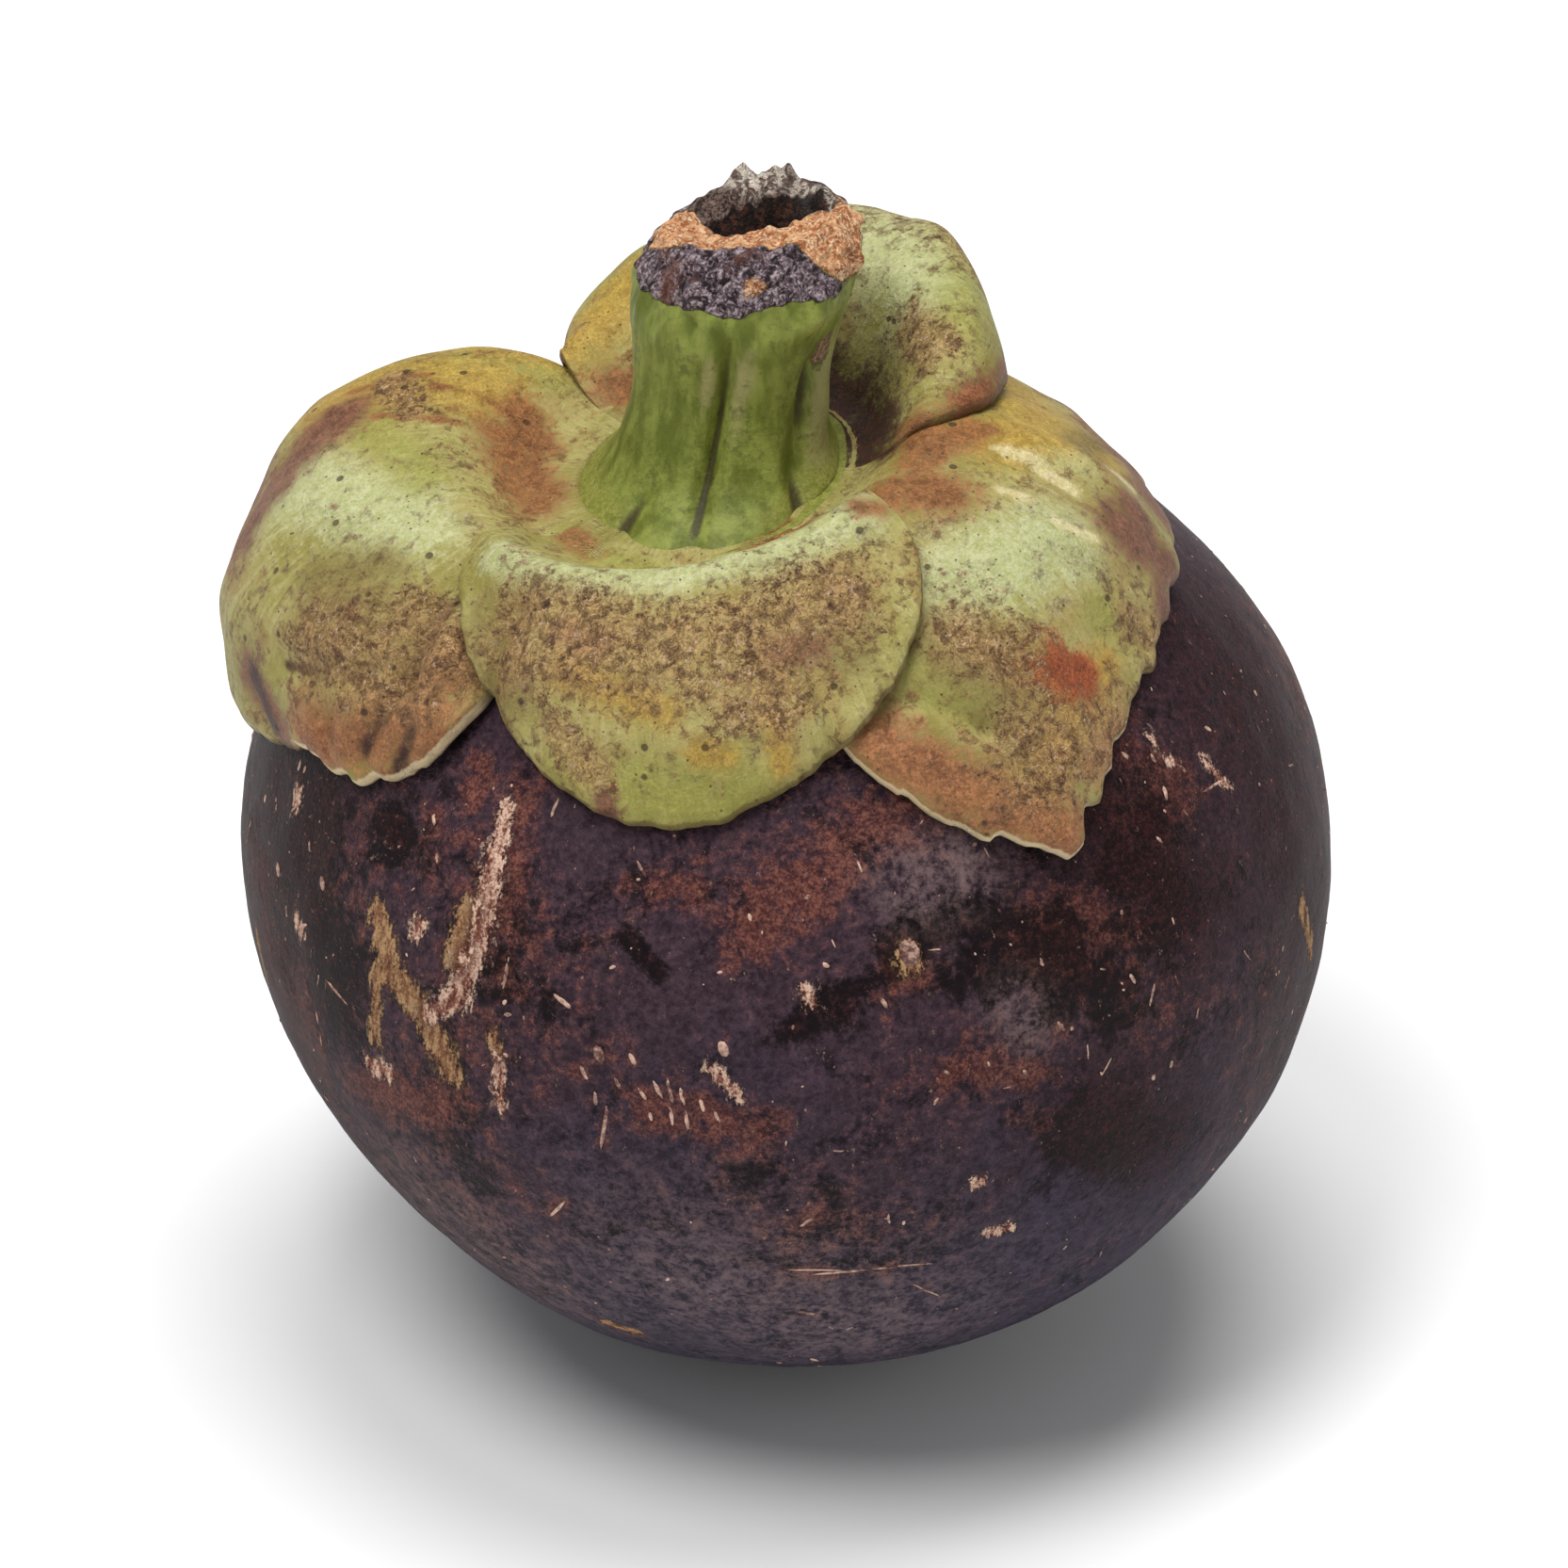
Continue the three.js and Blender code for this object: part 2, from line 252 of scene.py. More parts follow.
def mark(mesh, name, values):
    """Lays a mark on a mesh, as one number at each of its points or as three."""
    three = np.size(values) > len(mesh.vertices)
    layer = mesh.attributes.new(name, "FLOAT_VECTOR" if three else "FLOAT", "POINT")
    layer.data.foreach_set("vector" if three else "value", np.ravel(values).astype(np.float32))


def turned_from(middle, azimuth):
    """How many degrees an azimuth is past a middle one, from -180 to 180."""
    return (azimuth - middle + 180) % 360 - 180


def make_rind_skin():
    """Dark purple skin, mottled red-brown and nearly black, with corky scars and a grey bloom low down,
    which is partly painted bounce light from the floor, and with painted shade on its sides and painted
    sheen.
    """
    place, close = new_finish("Mangosteen rind skin")
    broad = grain(place, 0.07, 3, 0.55)
    patch = grain(place, 0.26, 6, 0.72, 0.6)
    mottle = grain(place.vector("ADD", (40.0, 9.0, 3.0)), 0.75, 6, 0.75, 0.4)
    fine = grain(place, 2.3, 4, 0.75)
    dust = grain(place, 6.0, 3, 0.7)
    speckle = (mottle * 0.35 + fine * 0.5 + dust * 0.15).between(0.38, 0.62)
    colour = shades((44, 30, 37), (78, 59, 69), speckle)
    # painted sheen: greyish patches in the mottle stand in for soft streaky highlights
    colour = lay(colour, paint(100, 84, 96), mottle.between(0.56, 0.7) * 0.4)
    # lighter and bluer grey low down: partly a faint bloom, partly painted light bounced up from the floor
    low = (place.parts()[2] + (broad - 0.5) * 30 + (patch - 0.5) * 30).between(34, 14)
    colour = lay(colour, shades((38, 34, 45), (68, 62, 82), speckle), low * 0.85)
    # rubbed places are red-brown, and pressed ones nearly black
    brown = mottle * 0.7 + broad * 0.4 + fine * 0.12 - low * 0.05
    brown = (brown + mark_strength(place, "ruddy") * 0.16 + mark_strength(place, "halo") * 0.12).between(0.62, 0.77)
    earth = shades((70, 36, 36), (140, 86, 70), (fine * 0.5 + dust * 0.5).between(0.42, 0.64))
    colour = lay(colour, earth, brown * 0.85)
    # nearly black where the rind was pressed, and the marks on the front right are also painted shadow of a
    # neighbouring fruit
    pressed = patch * 0.7 + fine * 0.14 + mottle * 0.16 - (broad - 0.5) * 0.3
    pressed = (pressed - mark_strength(place, "pressed") * 0.18 + low * 0.03).between(0.49, 0.38)
    soot = shades((15, 8, 10), (58, 28, 26), (fine * 0.6 + mottle * 0.4).between(0.5, 0.62))
    colour = lay(colour, soot, pressed * 0.88)
    # the sides are darkened to a deeper red-black with painted shade, and some places have a greyer haze
    deep = mark_strength(place, "deep") * (patch * 0.6 + fine * 0.4).between(0.25, 0.55)
    liver = shades((22, 9, 12), (64, 29, 29), (fine * 0.5 + dust * 0.5).between(0.44, 0.6))
    colour = lay(colour, liver, deep * 0.85)
    hazy = mark_strength(place, "hazy") * (mottle * 0.5 + fine * 0.5).between(0.4, 0.62)
    colour = lay(colour, paint(146, 124, 120), hazy * 0.5)
    # corky scars: ochre where they are old, and pink and cream where they are only grazed
    streak = grain(stretched(place, 2.4, 2.4, 0.8), 1.0, 4, 0.7)
    ragged = (streak - 0.5) * 2.2 + (dust - 0.5) * 0.9
    scar = (mark_strength(place, "scar") * 1.1 + ragged).between(0.35, 0.7)
    light = (streak * 0.6 + dust * 0.4).between(0.44, 0.6)
    colour = lay(colour, shades((124, 82, 58), (194, 156, 112), light), scar * 0.92)
    graze = (mark_strength(place, "graze") * 1.1 + ragged).between(0.35, 0.7)
    colour = lay(colour, shades((130, 76, 62), (236, 200, 176), light), graze * 0.92)
    flecks = grain(place.vector("ADD", (5.0, 21.0, 8.0)), 2.6, 3, 0.7)
    fleck = (mottle * 0.5 + broad * 0.5 - low * 0.05).between(0.47, 0.58) * flecks.between(0.63, 0.7)
    colour = lay(colour, paint(170, 126, 116), fleck * 0.7)
    rough = scar + graze
    roughness = fine * 0.14 + hazy * 0.2 + low * 0.06 + rough * 0.2 + 0.46 - pressed * 0.06
    relief = patch * 0.5 + mottle * 0.35 + fine * 0.22 + dust * 0.06
    relief = relief + rough * (streak * 0.5 + 0.4) + fleck * 0.2 - pressed * 0.25
    return close(colour, roughness, relief, 0.22, Specular_IOR_Level=0.08)


rind_form, size = new_form("Rind form", RIND_SIZES)
ball = Wire(rind_form).add("GeometryNodeMeshIcoSphere", inputs={"Radius": 1, "Subdivisions": RIND_DETAIL})
towards = ball.add("GeometryNodeInputPosition").vector("NORMALIZE")
reach = skin_reach(*towards.parts(), size, lambda cosine: cosine.math("ARCCOSINE"))
reach = reach + (grain(towards, 2.6, 2) - 0.5) * size["Unevenness"] * 2
reach = reach + (grain(towards, 13, 3) - 0.5) * size["Dimples"] * 2
skin = towards.vector("SCALE", scale=reach).vector("ADD", tuple(HEART))
x, y, z = skin.parts()
above_seat = z.math("SMOOTH_MAX", size["Seat"], 1 * MM)
seated = ball.add("ShaderNodeCombineXYZ", inputs={0: x, 1: y, 2: above_seat})
ball = ball.add("GeometryNodeSetPosition", inputs={0: ball, "Position": seated})
ball = ball.add("GeometryNodeSetShadeSmooth", inputs={0: ball})
rind = grow("rind_skin", ball, RIND_SIZES, make_rind_skin())
# Marks on the skin: azimuth and polar angle of both ends, and reach in millimetres. Old scars are ochre and
# grazes pink. Ruddy places are red-brown and pressed ones nearly black, some of them on the front right
# painted shadow of a neighbouring fruit. Deep ones are red-black painted shade, and hazy ones grey.
RIND_MARKS = {
    "scar": [
        (233.8, 69.5, 233.1, 75.4, 0.9), (221.6, 74.6, 224.3, 79.7, 0.95), (224.3, 79.7, 229.5, 82.2, 1.05),
        (229.5, 82.2, 233.8, 87.7, 1), (222.6, 80.4, 222.9, 88.8, 0.5), (238.9, 81.7, 239.6, 84.2, 0.5),
        (194.8, 91.8, 196, 96.5, 0.6), (284.4, 69.3, 284.6, 70.2, 0.8), (247, 125.5, 250, 126.5, 0.7),
        (30, 70, 36, 84, 0.9), (34, 84, 31, 90, 0.6), (118, 96, 126, 100, 0.7), (160, 80, 158, 96, 0.8),
        (158, 90, 163, 101, 0.6), (340, 84, 343, 92, 0.5),
    ],
    "graze": [
        (234.4, 58, 235.2, 62.6, 0.55), (235, 63, 235.3, 68, 0.75), (235.5, 67.8, 235.5, 73.5, 0.85),
        (235, 73.8, 233.9, 79.4, 0.9), (233.9, 79.4, 230.4, 82.4, 0.7), (222, 92.2, 225, 91.9, 0.65),
        (227.6, 72.9, 227.3, 74.5, 0.55), (239.6, 84.2, 240.2, 89.9, 0.45), (200.9, 70.2, 201.3, 71.9, 0.5),
        (207.4, 82.2, 208.8, 83, 0.5), (262.9, 80.8, 265.9, 83.7, 0.45), (272.7, 72.1, 273.9, 73.7, 0.45),
        (290.4, 96.7, 291.5, 96.4, 0.45), (293, 104.2, 295, 103.9, 0.5), (324, 56, 325.5, 60, 0.35),
        (331, 62, 333, 66.5, 0.35), (110, 72, 112, 88, 0.6), (70, 90, 74, 97, 0.6), (24, 96, 29, 97, 0.5),
        (176, 70, 178, 78, 0.5),
    ],
    "ruddy": [
        (255.6, 87.2, 268.4, 87.1, 1.8), (236, 55.1, 237.7, 69.1, 1.8), (253.6, 63, 260.4, 62.1, 1.2),
        (265.8, 66.6, 271.3, 61, 2.2), (228.7, 55.1, 229.3, 57, 1.2), (192.5, 79.4, 197.2, 88.6, 2.6),
        (198, 84, 206, 98, 4), (207.3, 93.8, 210.7, 104.1, 2.6), (217.7, 97.2, 232.3, 92.2, 1.8),
        (267, 65.8, 276.7, 58.6, 2.6), (276.7, 58.6, 286, 55.7, 2.4), (290.7, 81.7, 298.5, 85.3, 1.8),
        (295.5, 89.2, 299, 90.9, 1.2), (300, 70.7, 308.4, 71.6, 2.4), (317, 62.8, 323, 62.3, 2.4),
        (283.8, 70.8, 284.3, 71.4, 1.4), (10, 70, 30, 75, 6), (60, 80, 95, 92, 6), (150, 72, 170, 90, 5),
        (247, 126, 250, 127, 1.2),
    ],
    "pressed": [
        (253.3, 67.9, 257, 71.7, 0.65), (188.6, 72.8, 196.5, 74.8, 3.2), (204.4, 71.6, 206.9, 79.8, 3.2),
        (212.6, 83.2, 215.8, 86.9, 2.6), (219.6, 66.5, 221, 67.5, 1.3), (297.3, 67.9, 282.9, 68, 1.5),
        (282.7, 70.1, 270.4, 76.9, 1.1), (316.3, 67.1, 315.4, 73, 3.2), (302, 91.9, 309, 99, 2.8),
        (302, 70.2, 289.3, 72.7, 2), (301, 73, 307, 80, 2.4), (130, 84, 140, 92, 4), (20, 100, 28, 110, 3),
        (80, 66, 90, 72, 4),
    ],
    "deep": [
        (186, 62, 192, 96, 7), (203, 82, 204, 96, 4), (196, 96, 216, 114, 7), (205, 66, 207, 80, 3),
        (345, 60, 345, 100, 9), (312, 62, 322, 74, 5), (305, 92, 315, 100, 4), (90, 70, 110, 90, 8),
    ],
    "hazy": [
        (286.1, 62.1, 292, 60.9, 2.4), (295.7, 77.3, 296.6, 79.7, 1.8), (226, 112, 240, 118, 6),
        (260, 110, 280, 118, 7), (150, 112, 170, 120, 8), (50, 108, 70, 116, 8),
    ],
}


def on_skin(azimuth, polar):
    return off_skin(direction(azimuth, polar), np.zeros(()))


def mark_rind(name, strokes, wider=0):
    points = np.array([vertex.co for vertex in rind.data.vertices], float)
    drawn = [near(points, on_skin(a, b), on_skin(c, d), (r + wider) * MM) for a, b, c, d, r in strokes]
    mark(rind.data, name, np.max(drawn, axis=0))


for name, strokes in RIND_MARKS.items():
    mark_rind(name, strokes)
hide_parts("rind")
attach(rind, "root")
bpy.context.view_layer.update()

# The specks and short scratches on the skin: drops of dried sap and thin corky lips, each a low lens that
# is sunk a little in the rind. The skin round the larger ones is browner.
SPECK_SIZES = {"Height": 0.3, "Sink": 0.2, "Raggedness": 0.16 * MM}  # the first two are shares of the width
HALO = 0.35  # how far the browner skin reaches past a speck's width, in millimetres
# Single marks: azimuth and polar angle of both ends, and width in millimetres.
SPECKS = [
    (239.5, 73.2, 239.5, 76.3, 0.32), (210.8, 75.7, 211.2, 76.2, 0.55), (201, 79.3, 201.4, 79.8, 0.55),
    (225, 62.4, 225.3, 62.8, 0.35), (227.5, 65.6, 227.7, 66.2, 0.35), (190.2, 80.1, 189.2, 83.5, 0.4),
    (212.3, 91, 212.5, 94.9, 0.35), (214.8, 85.7, 218.2, 86.7, 0.3), (250.8, 80.5, 251.2, 81.6, 0.6),
    (249.2, 83, 249.7, 83.9, 0.5), (254.5, 80.6, 254.8, 81.1, 0.45), (250.7, 85.6, 250.9, 87.1, 0.35),
    (252.2, 86, 251.5, 91.8, 0.36), (257.1, 83.2, 257.8, 84.6, 0.4), (258.5, 82.7, 259, 85, 0.36),
    (258.8, 86, 259.2, 88, 0.4), (259.9, 83.6, 260.2, 85.2, 0.36), (260.4, 86.2, 260.7, 88.3, 0.4),
    (255.5, 84.2, 256.2, 85.1, 0.35), (264.1, 78.3, 264.4, 79, 0.6), (263.1, 81, 263.4, 81.7, 0.4),
    (245.1, 102.8, 247, 100.2, 0.36), (281.1, 73.9, 281.4, 74.4, 0.4), (287.5, 82.5, 287.7, 82.9, 0.35),
    (272.5, 100.1, 273.6, 99.1, 0.36), (271, 106.8, 277, 107.3, 0.22), (273.7, 107.7, 282.6, 107.5, 0.32),
    (282.6, 107.5, 286.8, 107.7, 0.2), (284.9, 110.9, 288.7, 114.3, 0.22), (272.5, 115.1, 274, 115.6, 0.5),
    (322.9, 58.3, 322.9, 59, 0.35), (322.3, 62, 322.1, 62.9, 0.45), (328.4, 64.9, 332.7, 65.5, 0.25),
    (299.4, 73, 299.5, 73.4, 0.35), (266.7, 64.6, 267, 65, 0.35), (284.4, 68.9, 284.6, 69.7, 1.2),
    (193, 66, 193.2, 66.6, 0.4), (198.5, 68, 198.8, 68.5, 0.45), (203, 64.5, 203.3, 65.2, 0.3),
    (196, 74, 196.6, 74.6, 0.35), (206.5, 73.5, 206.9, 74.2, 0.3), (253, 83.6, 253.4, 84.2, 0.4),
    (256.6, 86.6, 256.9, 87.6, 0.35), (262, 84.8, 262.3, 85.7, 0.35), (263.5, 86, 263.9, 86.9, 0.35),
    (300.5, 80.2, 300.8, 80.8, 0.45), (296, 84.3, 296.4, 84.8, 0.4), (310, 78, 310.3, 78.8, 0.35),
    (319, 56.5, 319.4, 57.2, 0.4), (326.5, 61, 327, 61.8, 0.4), (324, 65, 324.3, 65.8, 0.35),
    (334.5, 60, 335.5, 61, 0.35), (318.5, 66, 318.9, 66.6, 0.3),
]
SLIM_BELOW = 0.5  # marks narrower than this are thin lips, and wider ones round drops
STRAY_SPECKS = 900
STRAY_COSINES = (-0.85, 0.62)  # of the polar angles between which they are scattered
STRAY_RUN, STRAY_LEAN = 2.2, 0.8  # the longest in degrees, though most are round, and how far off upright
STRAY_WIDTHS = (0.14, 0.32)  # the least, and how much wider the widest is
SPECK_SEED = 7


def speck_base():
    """A mesh of bare points, one for each speck, with its facing and its size."""
    draw = np.random.default_rng(SPECK_SEED)
    strokes = list(SPECKS)
    while len(strokes) < len(SPECKS) + STRAY_SPECKS:
        azimuth, polar = draw.uniform(0, 360), np.degrees(np.arccos(draw.uniform(*STRAY_COSINES)))
        run = draw.uniform(0.1, 1.0) ** 8 * STRAY_RUN
        lean = draw.normal(0, STRAY_LEAN)
        width = STRAY_WIDTHS[0] + STRAY_WIDTHS[1] * draw.uniform(0, 1) ** 3.5
        last = azimuth + run * math.sin(lean), polar + run * math.cos(lean)
        strokes.append((azimuth, polar, *last, width))
    places, facings, sizes = [], [], []
    for azimuth, polar, last_azimuth, last_polar, width in strokes:
        start, end = Vector(on_skin(azimuth, polar)), Vector(on_skin(last_azimuth, last_polar))
        middle = on_skin((azimuth + last_azimuth) / 2, (polar + last_polar) / 2)
        _, middle, out, _ = rind.closest_point_on_mesh(middle)
        along = (end - start) - (end - start).dot(out) * out
        length = along.length + width * MM
        slim = 1 if width > SLIM_BELOW else 0.7
        along.normalize()
        turn = np.array([along, out.cross(along), out]).T
        places.append(middle)
        facings.append(Matrix(turn.tolist()).to_euler())
        sizes.append((length / 2, width * MM * slim / 2, width * MM * slim / 2))
    mesh = bpy.data.meshes.new("Speck places")
    mesh.from_pydata(places, [], [])
    mark(mesh, "facing", facings)
    mark(mesh, "size", sizes)
    return mesh


def make_speck_cork():
    place, close = new_finish("Mangosteen skin specks")
    broad = grain(place, 0.5, 2, 0.5)
    fine = grain(place, 3.5, 3, 0.7)
    colour = shades((92, 54, 50), (222, 184, 162), (broad * 0.7 + fine * 0.6).between(0.5, 0.8))
    return close(colour, fine * 0.2 + 0.5, fine, 0.1, Specular_IOR_Level=0.25)


speck_form, size = new_form("Speck form", SPECK_SIZES)
lens_shape = size["Base"].add("GeometryNodeMeshUVSphere", inputs={"Segments": 8, "Rings": 5, "Radius": 1})
x, y, z = lens_shape.add("GeometryNodeInputPosition").parts()
sunk = z * size["Height"] - size["Sink"] * 0.5
lens_place = lens_shape.add("ShaderNodeCombineXYZ", inputs={0: x, 1: y, 2: sunk})
lens_shape = lens_shape.add("GeometryNodeSetPosition", inputs={0: lens_shape, "Position": lens_place})
lens_shape = lens_shape.add("GeometryNodeSetShadeSmooth", inputs={0: lens_shape})
facing, spread = (
    lens_shape.add("GeometryNodeInputNamedAttribute", {"data_type": "FLOAT_VECTOR"}, {"Name": name})
    for name in ("facing", "size")
)
specks = {"Points": size["Base"], "Instance": lens_shape, "Rotation": facing, "Scale": spread}
specks = lens_shape.add("GeometryNodeInstanceOnPoints", inputs=specks)
specks = specks.add("GeometryNodeRealizeInstances", inputs={0: specks})
spot = specks.add("GeometryNodeInputPosition").vector("SCALE", scale=1 / MM)
jag = spot.add("ShaderNodeTexNoise", inputs={"Vector": spot, "Scale": 2.6, "Detail": 1.0}, output=1)
jag = jag.vector("SUBTRACT", (0.5, 0.5, 0.5)).vector("SCALE", scale=size["Raggedness"])
specks = specks.add("GeometryNodeSetPosition", inputs={0: specks, "Offset": jag})
specks = grow("rind_specks", specks, SPECK_SIZES, make_speck_cork(), speck_base())
mark_rind("halo", SPECKS, HALO)
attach(specks, "root")

# The calyx: four leathery sepals that stay on the fruit, in two pairs. The side pair lies on the rind, and
# the front and back pair lies over its edges. Each is domed like a cupped hand, thick in the middle and
# thin at the brim, and is fixed only at its root, round the foot of the stem.
ROOT = 17.5  # polar angle from the calyx axis at which the sepals begin
CLEARANCE, LEAST_GAP = 0.35 * MM, 0.21 * MM  # between the skin and a sepal, as it is laid and in its dents
UNDERLAP = 6  # degrees past a sepal's edge in which the sepal over it comes down to the skin
CALYX_TURN = np.array(Vector((0, 0, 1)).rotation_difference(HOLLOW_AXIS).to_matrix())
# Each rim runs from one side of the root to the other, as azimuth and polar angle round the calyx axis. The
# form is the height of the dome, where across and along the sepal it is highest, how sharply it falls to the
# sides, the thickness in the middle and at the brim, and how slowly it rises from the root. Torn is how
# ragged the brim is. Folds and stains run between two places, in hundredths of the way across, where the
# middle is 0, and along: a fold with its depth and width in millimetres, and a stain with its reach. Some
# stains are painted light: the pale one is partly painted highlight along the crests and on lit tops, and
# the dusky red-brown one is painted shade in folds and hollows, in the pit beside the stem, by the root
# and at the right sepal's far brim.
SEPALS = {
    "calyx_lobe_left": {
        "rim": [
            (122, 24), (129, 42), (145, 55), (162, 62), (182, 62), (203, 54.5), (216, 53), (229, 44),
            (234, 24),
        ],
        "form": (4.8, -0.42, 0.55, 1.8, 1.7, 0.9, 0.65),
        "torn": 1.5,
        "folds": [
            (70, 40, 72, 69, 0.8, 0.8), (72, 69, 67, 93, 0.6, 0.8), (80, 45, 82, 80, -0.4, 1.4),
            (35, 78, 62, 70, 0.55, 1), (72, 45, 82, 66, -0.5, 1.2), (55, 86, 58, 97, 0.4, 0.7),
            (80, 86, 78, 97, 0.4, 0.7), (48, 55, 52, 70, -0.4, 1.4), (45, 98, 90, 98, -0.35, 1.4),
            (25, 90, 30, 98, 0.4, 0.9), (-10, 97, 20, 95, -0.3, 1.6),
        ],
        "stains_and_light": {
            "pale": [(-5, 47, 24, 31, 2.6), (24, 31, 40, 30, 2)],
            "lime": [(-65, 40, -85, 28, 1.8), (-20, 32, 10, 22, 1.4)],
            "ochre": [(-41, 47, -52, 19, 2.8), (-90, 50, -50, 60, 2.4)],
            "olive": [(40, 62, 61, 54, 2.2), (30, 55, 46, 45, 1.4)],
            "blush": [
                (24, 84, 36, 95, 1.6), (-8, 66, -15, 52, 1.9), (-15, 52, -30, 40, 1.7),
                (-50, 70, -20, 66, 2),
            ],
            "bronze": [
                (-40, 43, -50, 30, 0.3), (-44, 26, -47, 14, 0.3), (-27, 33, -24, 17, 0.3),
                (-30, 10, 13, 3, 1.9), (-52, 12, -40, 7, 1.4), (75, 78, 86, 66, 1.5),
            ],
            "salmon": [(52, 93, 85, 90, 2.3), (70, 80, 80, 78, 1.2)],
            "dusk": [
                (70, 44, 72, 69, 0.5), (72, 69, 68, 90, 0.4), (26, 84, 32, 95, 0.8), (35, 78, 62, 70, 0.3),
                (48, 55, 52, 70, 0.25), (80, 86, 78, 97, 0.4),
            ],
            "scurf": [(45, 70, 75, 70, 2.4), (66, 50, 85, 62, 1.8), (-45, 36, -30, 26, 1)],
        },
    },
    "calyx_lobe_right": {
        "rim": [
            (-74, 24), (-72, 45), (-63, 57), (-55, 63.2), (-50, 67.2), (-45.5, 64.2), (-35, 60), (-16, 57),
            (8, 56), (30, 53), (45, 42), (50, 24),
        ],
        "form": (2.2, -0.35, 0.45, 1.7, 1.6, 0.8, 0.6),
        "torn": 1.7,
        "folds": [
            (-90, 64, -66, 70, 0.5, 0.7), (-66, 70, -62, 84, 0.4, 0.7), (-95, 90, -65, 97, -0.55, 1.3),
            (-55, 56, -54, 82, 0.45, 0.8), (-48, 60, -46, 80, -0.35, 0.9), (-30, 80, -20, 92, 0.3, 0.9),
            (-1, 41, -3, 64, 0.3, 0.5), (10, 45, 12, 70, -0.3, 1.2),
        ],
        "stains_and_light": {
            "pale": [(-50, 44, -22, 60, 2.6), (5, 50, 12, 62, 0.9)],
            "lime": [(-27, 77, -21, 88, 1.4), (-75, 55, -70, 65, 1.4)],
            "ochre": [(6, 38, 25, 67, 2.2), (30, 50, 60, 50, 2.6), (-55, 82, -36, 86, 1.8)],
            "olive": [(-66, 52, -55, 68, 2), (20, 60, 35, 75, 1.2)],
            "blush": [(-3, 74, 2, 95, 1.9), (8, 78, -7, 99, 1.5), (25, 90, 70, 88, 2.4)],
            "bronze": [(-40, 16, -28, 30, 1.9), (-15, 20, 6, 30, 1.5), (0, 20, 60, 20, 2)],
            "rust": [(-46, 73, -42, 80, 1.3)],
            "cream": [
                (2, 38, 3, 49, 0.35), (0, 50, -1, 60, 0.4), (-17, 42, -16, 49, 0.35),
                (-18, 57, -13, 68, 0.3), (17, 70, 18, 79, 0.3),
            ],
            "salmon": [(-88, 85, -74, 88, 2), (-74, 88, -62, 95, 1.8), (-50, 93, -40, 97, 1)],
            "dusk": [(60, 97, 90, 90, 1.5), (0, 12, 10, 14, 0.9)],
            "scurf": [(-60, 76, -40, 96, 2.6), (-20, 86, -15, 97, 1.4), (-60, 50, -50, 70, 1.8)],
        },
    },
    "calyx_lobe_front": {
        "rim": [
            (211, 22), (216, 29), (230, 38), (247, 47), (265, 51.5), (284, 48), (301, 42), (314, 33),
            (318, 22),
        ],
        "form": (2.6, 0, 0.31, 3, 1.9, 1.1, 0.5),
        "torn": 0.7,
        "folds": [
            (-50, 98, 50, 98, -0.25, 1.2), (-88, 38, -74, 52, -0.8, 1.5), (-66, 36, -60, 60, 0.5, 0.8),
            (88, 36, 82, 52, -0.7, 1.5), (-10, 86, 10, 88, 0.3, 2.2),
        ],
        "stains_and_light": {
            "pale": [
                (-73, 50, -46, 32, 1.2), (-46, 32, 4, 27, 1.3), (4, 27, 55, 35, 1.3), (55, 35, 84, 50, 1.3),
            ],
            "lime": [(-63, 7, -17, 10, 0.9), (-9, 89, 16, 95, 2), (-30, 90, -24, 93, 1.1)],
            "ochre": [(8, 79, 15, 82, 0.7), (29, 82, 28, 92, 0.7), (-30, 62, 0, 66, 1.1)],
            "olive": [(-64, 70, -50, 86, 1.7), (55, 75, 62, 60, 1.6)],
            "blush": [(-18, 95, -17, 99, 0.7), (35, 60, 45, 66, 0.9), (-35, 50, -20, 50, 0.8)],
            "bronze": [(-92, 5, -66, 6, 0.9), (50, 5, 80, 6, 0.9), (86, 50, 90, 60, 0.8)],
            "scurf": [
                (-50, 53, 0, 52, 2.2), (0, 52, 60, 60, 2.2), (-50, 68, 30, 72, 2.2),
                (-32, 80, -21, 88, 1.1),
            ],
        },
    },
    "calyx_lobe_back": {
        "rim": [
            (-12, 23), (0, 30.5), (15, 35), (34, 39.5), (60, 46), (85, 48.5), (106, 42.8), (117, 35),
            (127, 22),
        ],
        "form": (6.4, 0, 0.58, 2.2, 1.8, 0.9, 0.8),
        "torn": 0.5,
        "folds": [
            (-30, 13, -60, 19, 1.5, 1.8), (-60, 19, -88, 34, 0.6, 1.5), (-30, 35, -20, 60, -0.3, 2),
            (40, 30, 50, 60, 0.4, 1.4),
        ],
        "stains_and_light": {
            "pale": [(-40, 45, 10, 55, 3)],
            "lime": [(-60, 62, -20, 72, 1.6), (30, 50, 70, 60, 2)],
            "ochre": [(60, 40, 90, 60, 2.2)],
            "blush": [(-50, 98, 50, 98, 0.9), (-85, 90, -60, 95, 0.8)],
            "bronze": [(-98, 90, -80, 99, 1), (60, 6, 85, 12, 1.8), (-40, 4, 30, 4, 1)],
            "dusk": [(-25, 12, -55, 15, 2), (-55, 15, -92, 30, 2.6), (-60, 4, -70, 10, 1.8)],
            "scurf": [(-52, 36, -69, 43, 1.2), (-30, 75, 40, 80, 2.6), (-66, 50, -70, 53, 0.8)],
        },
    },
}
INNER_PAIR = ["calyx_lobe_left", "calyx_lobe_right"]
JOINED = (18.2, 25.4)  # polar angles between which the sepals part from their common root
JOINED_FRONT = (2.0, 264, 42)  # further out by so much, round this azimuth, with this spread
ROOT_THICKNESS = 0.6 * MM
ROOT_CLEARANCE = 0.15 * MM
ROOT_INSIDE = 14  # polar angle to which their roots run in under the stem
SEPAL_COLUMNS, SEPAL_ROWS = 200, 100
RIM_STEPS = 80
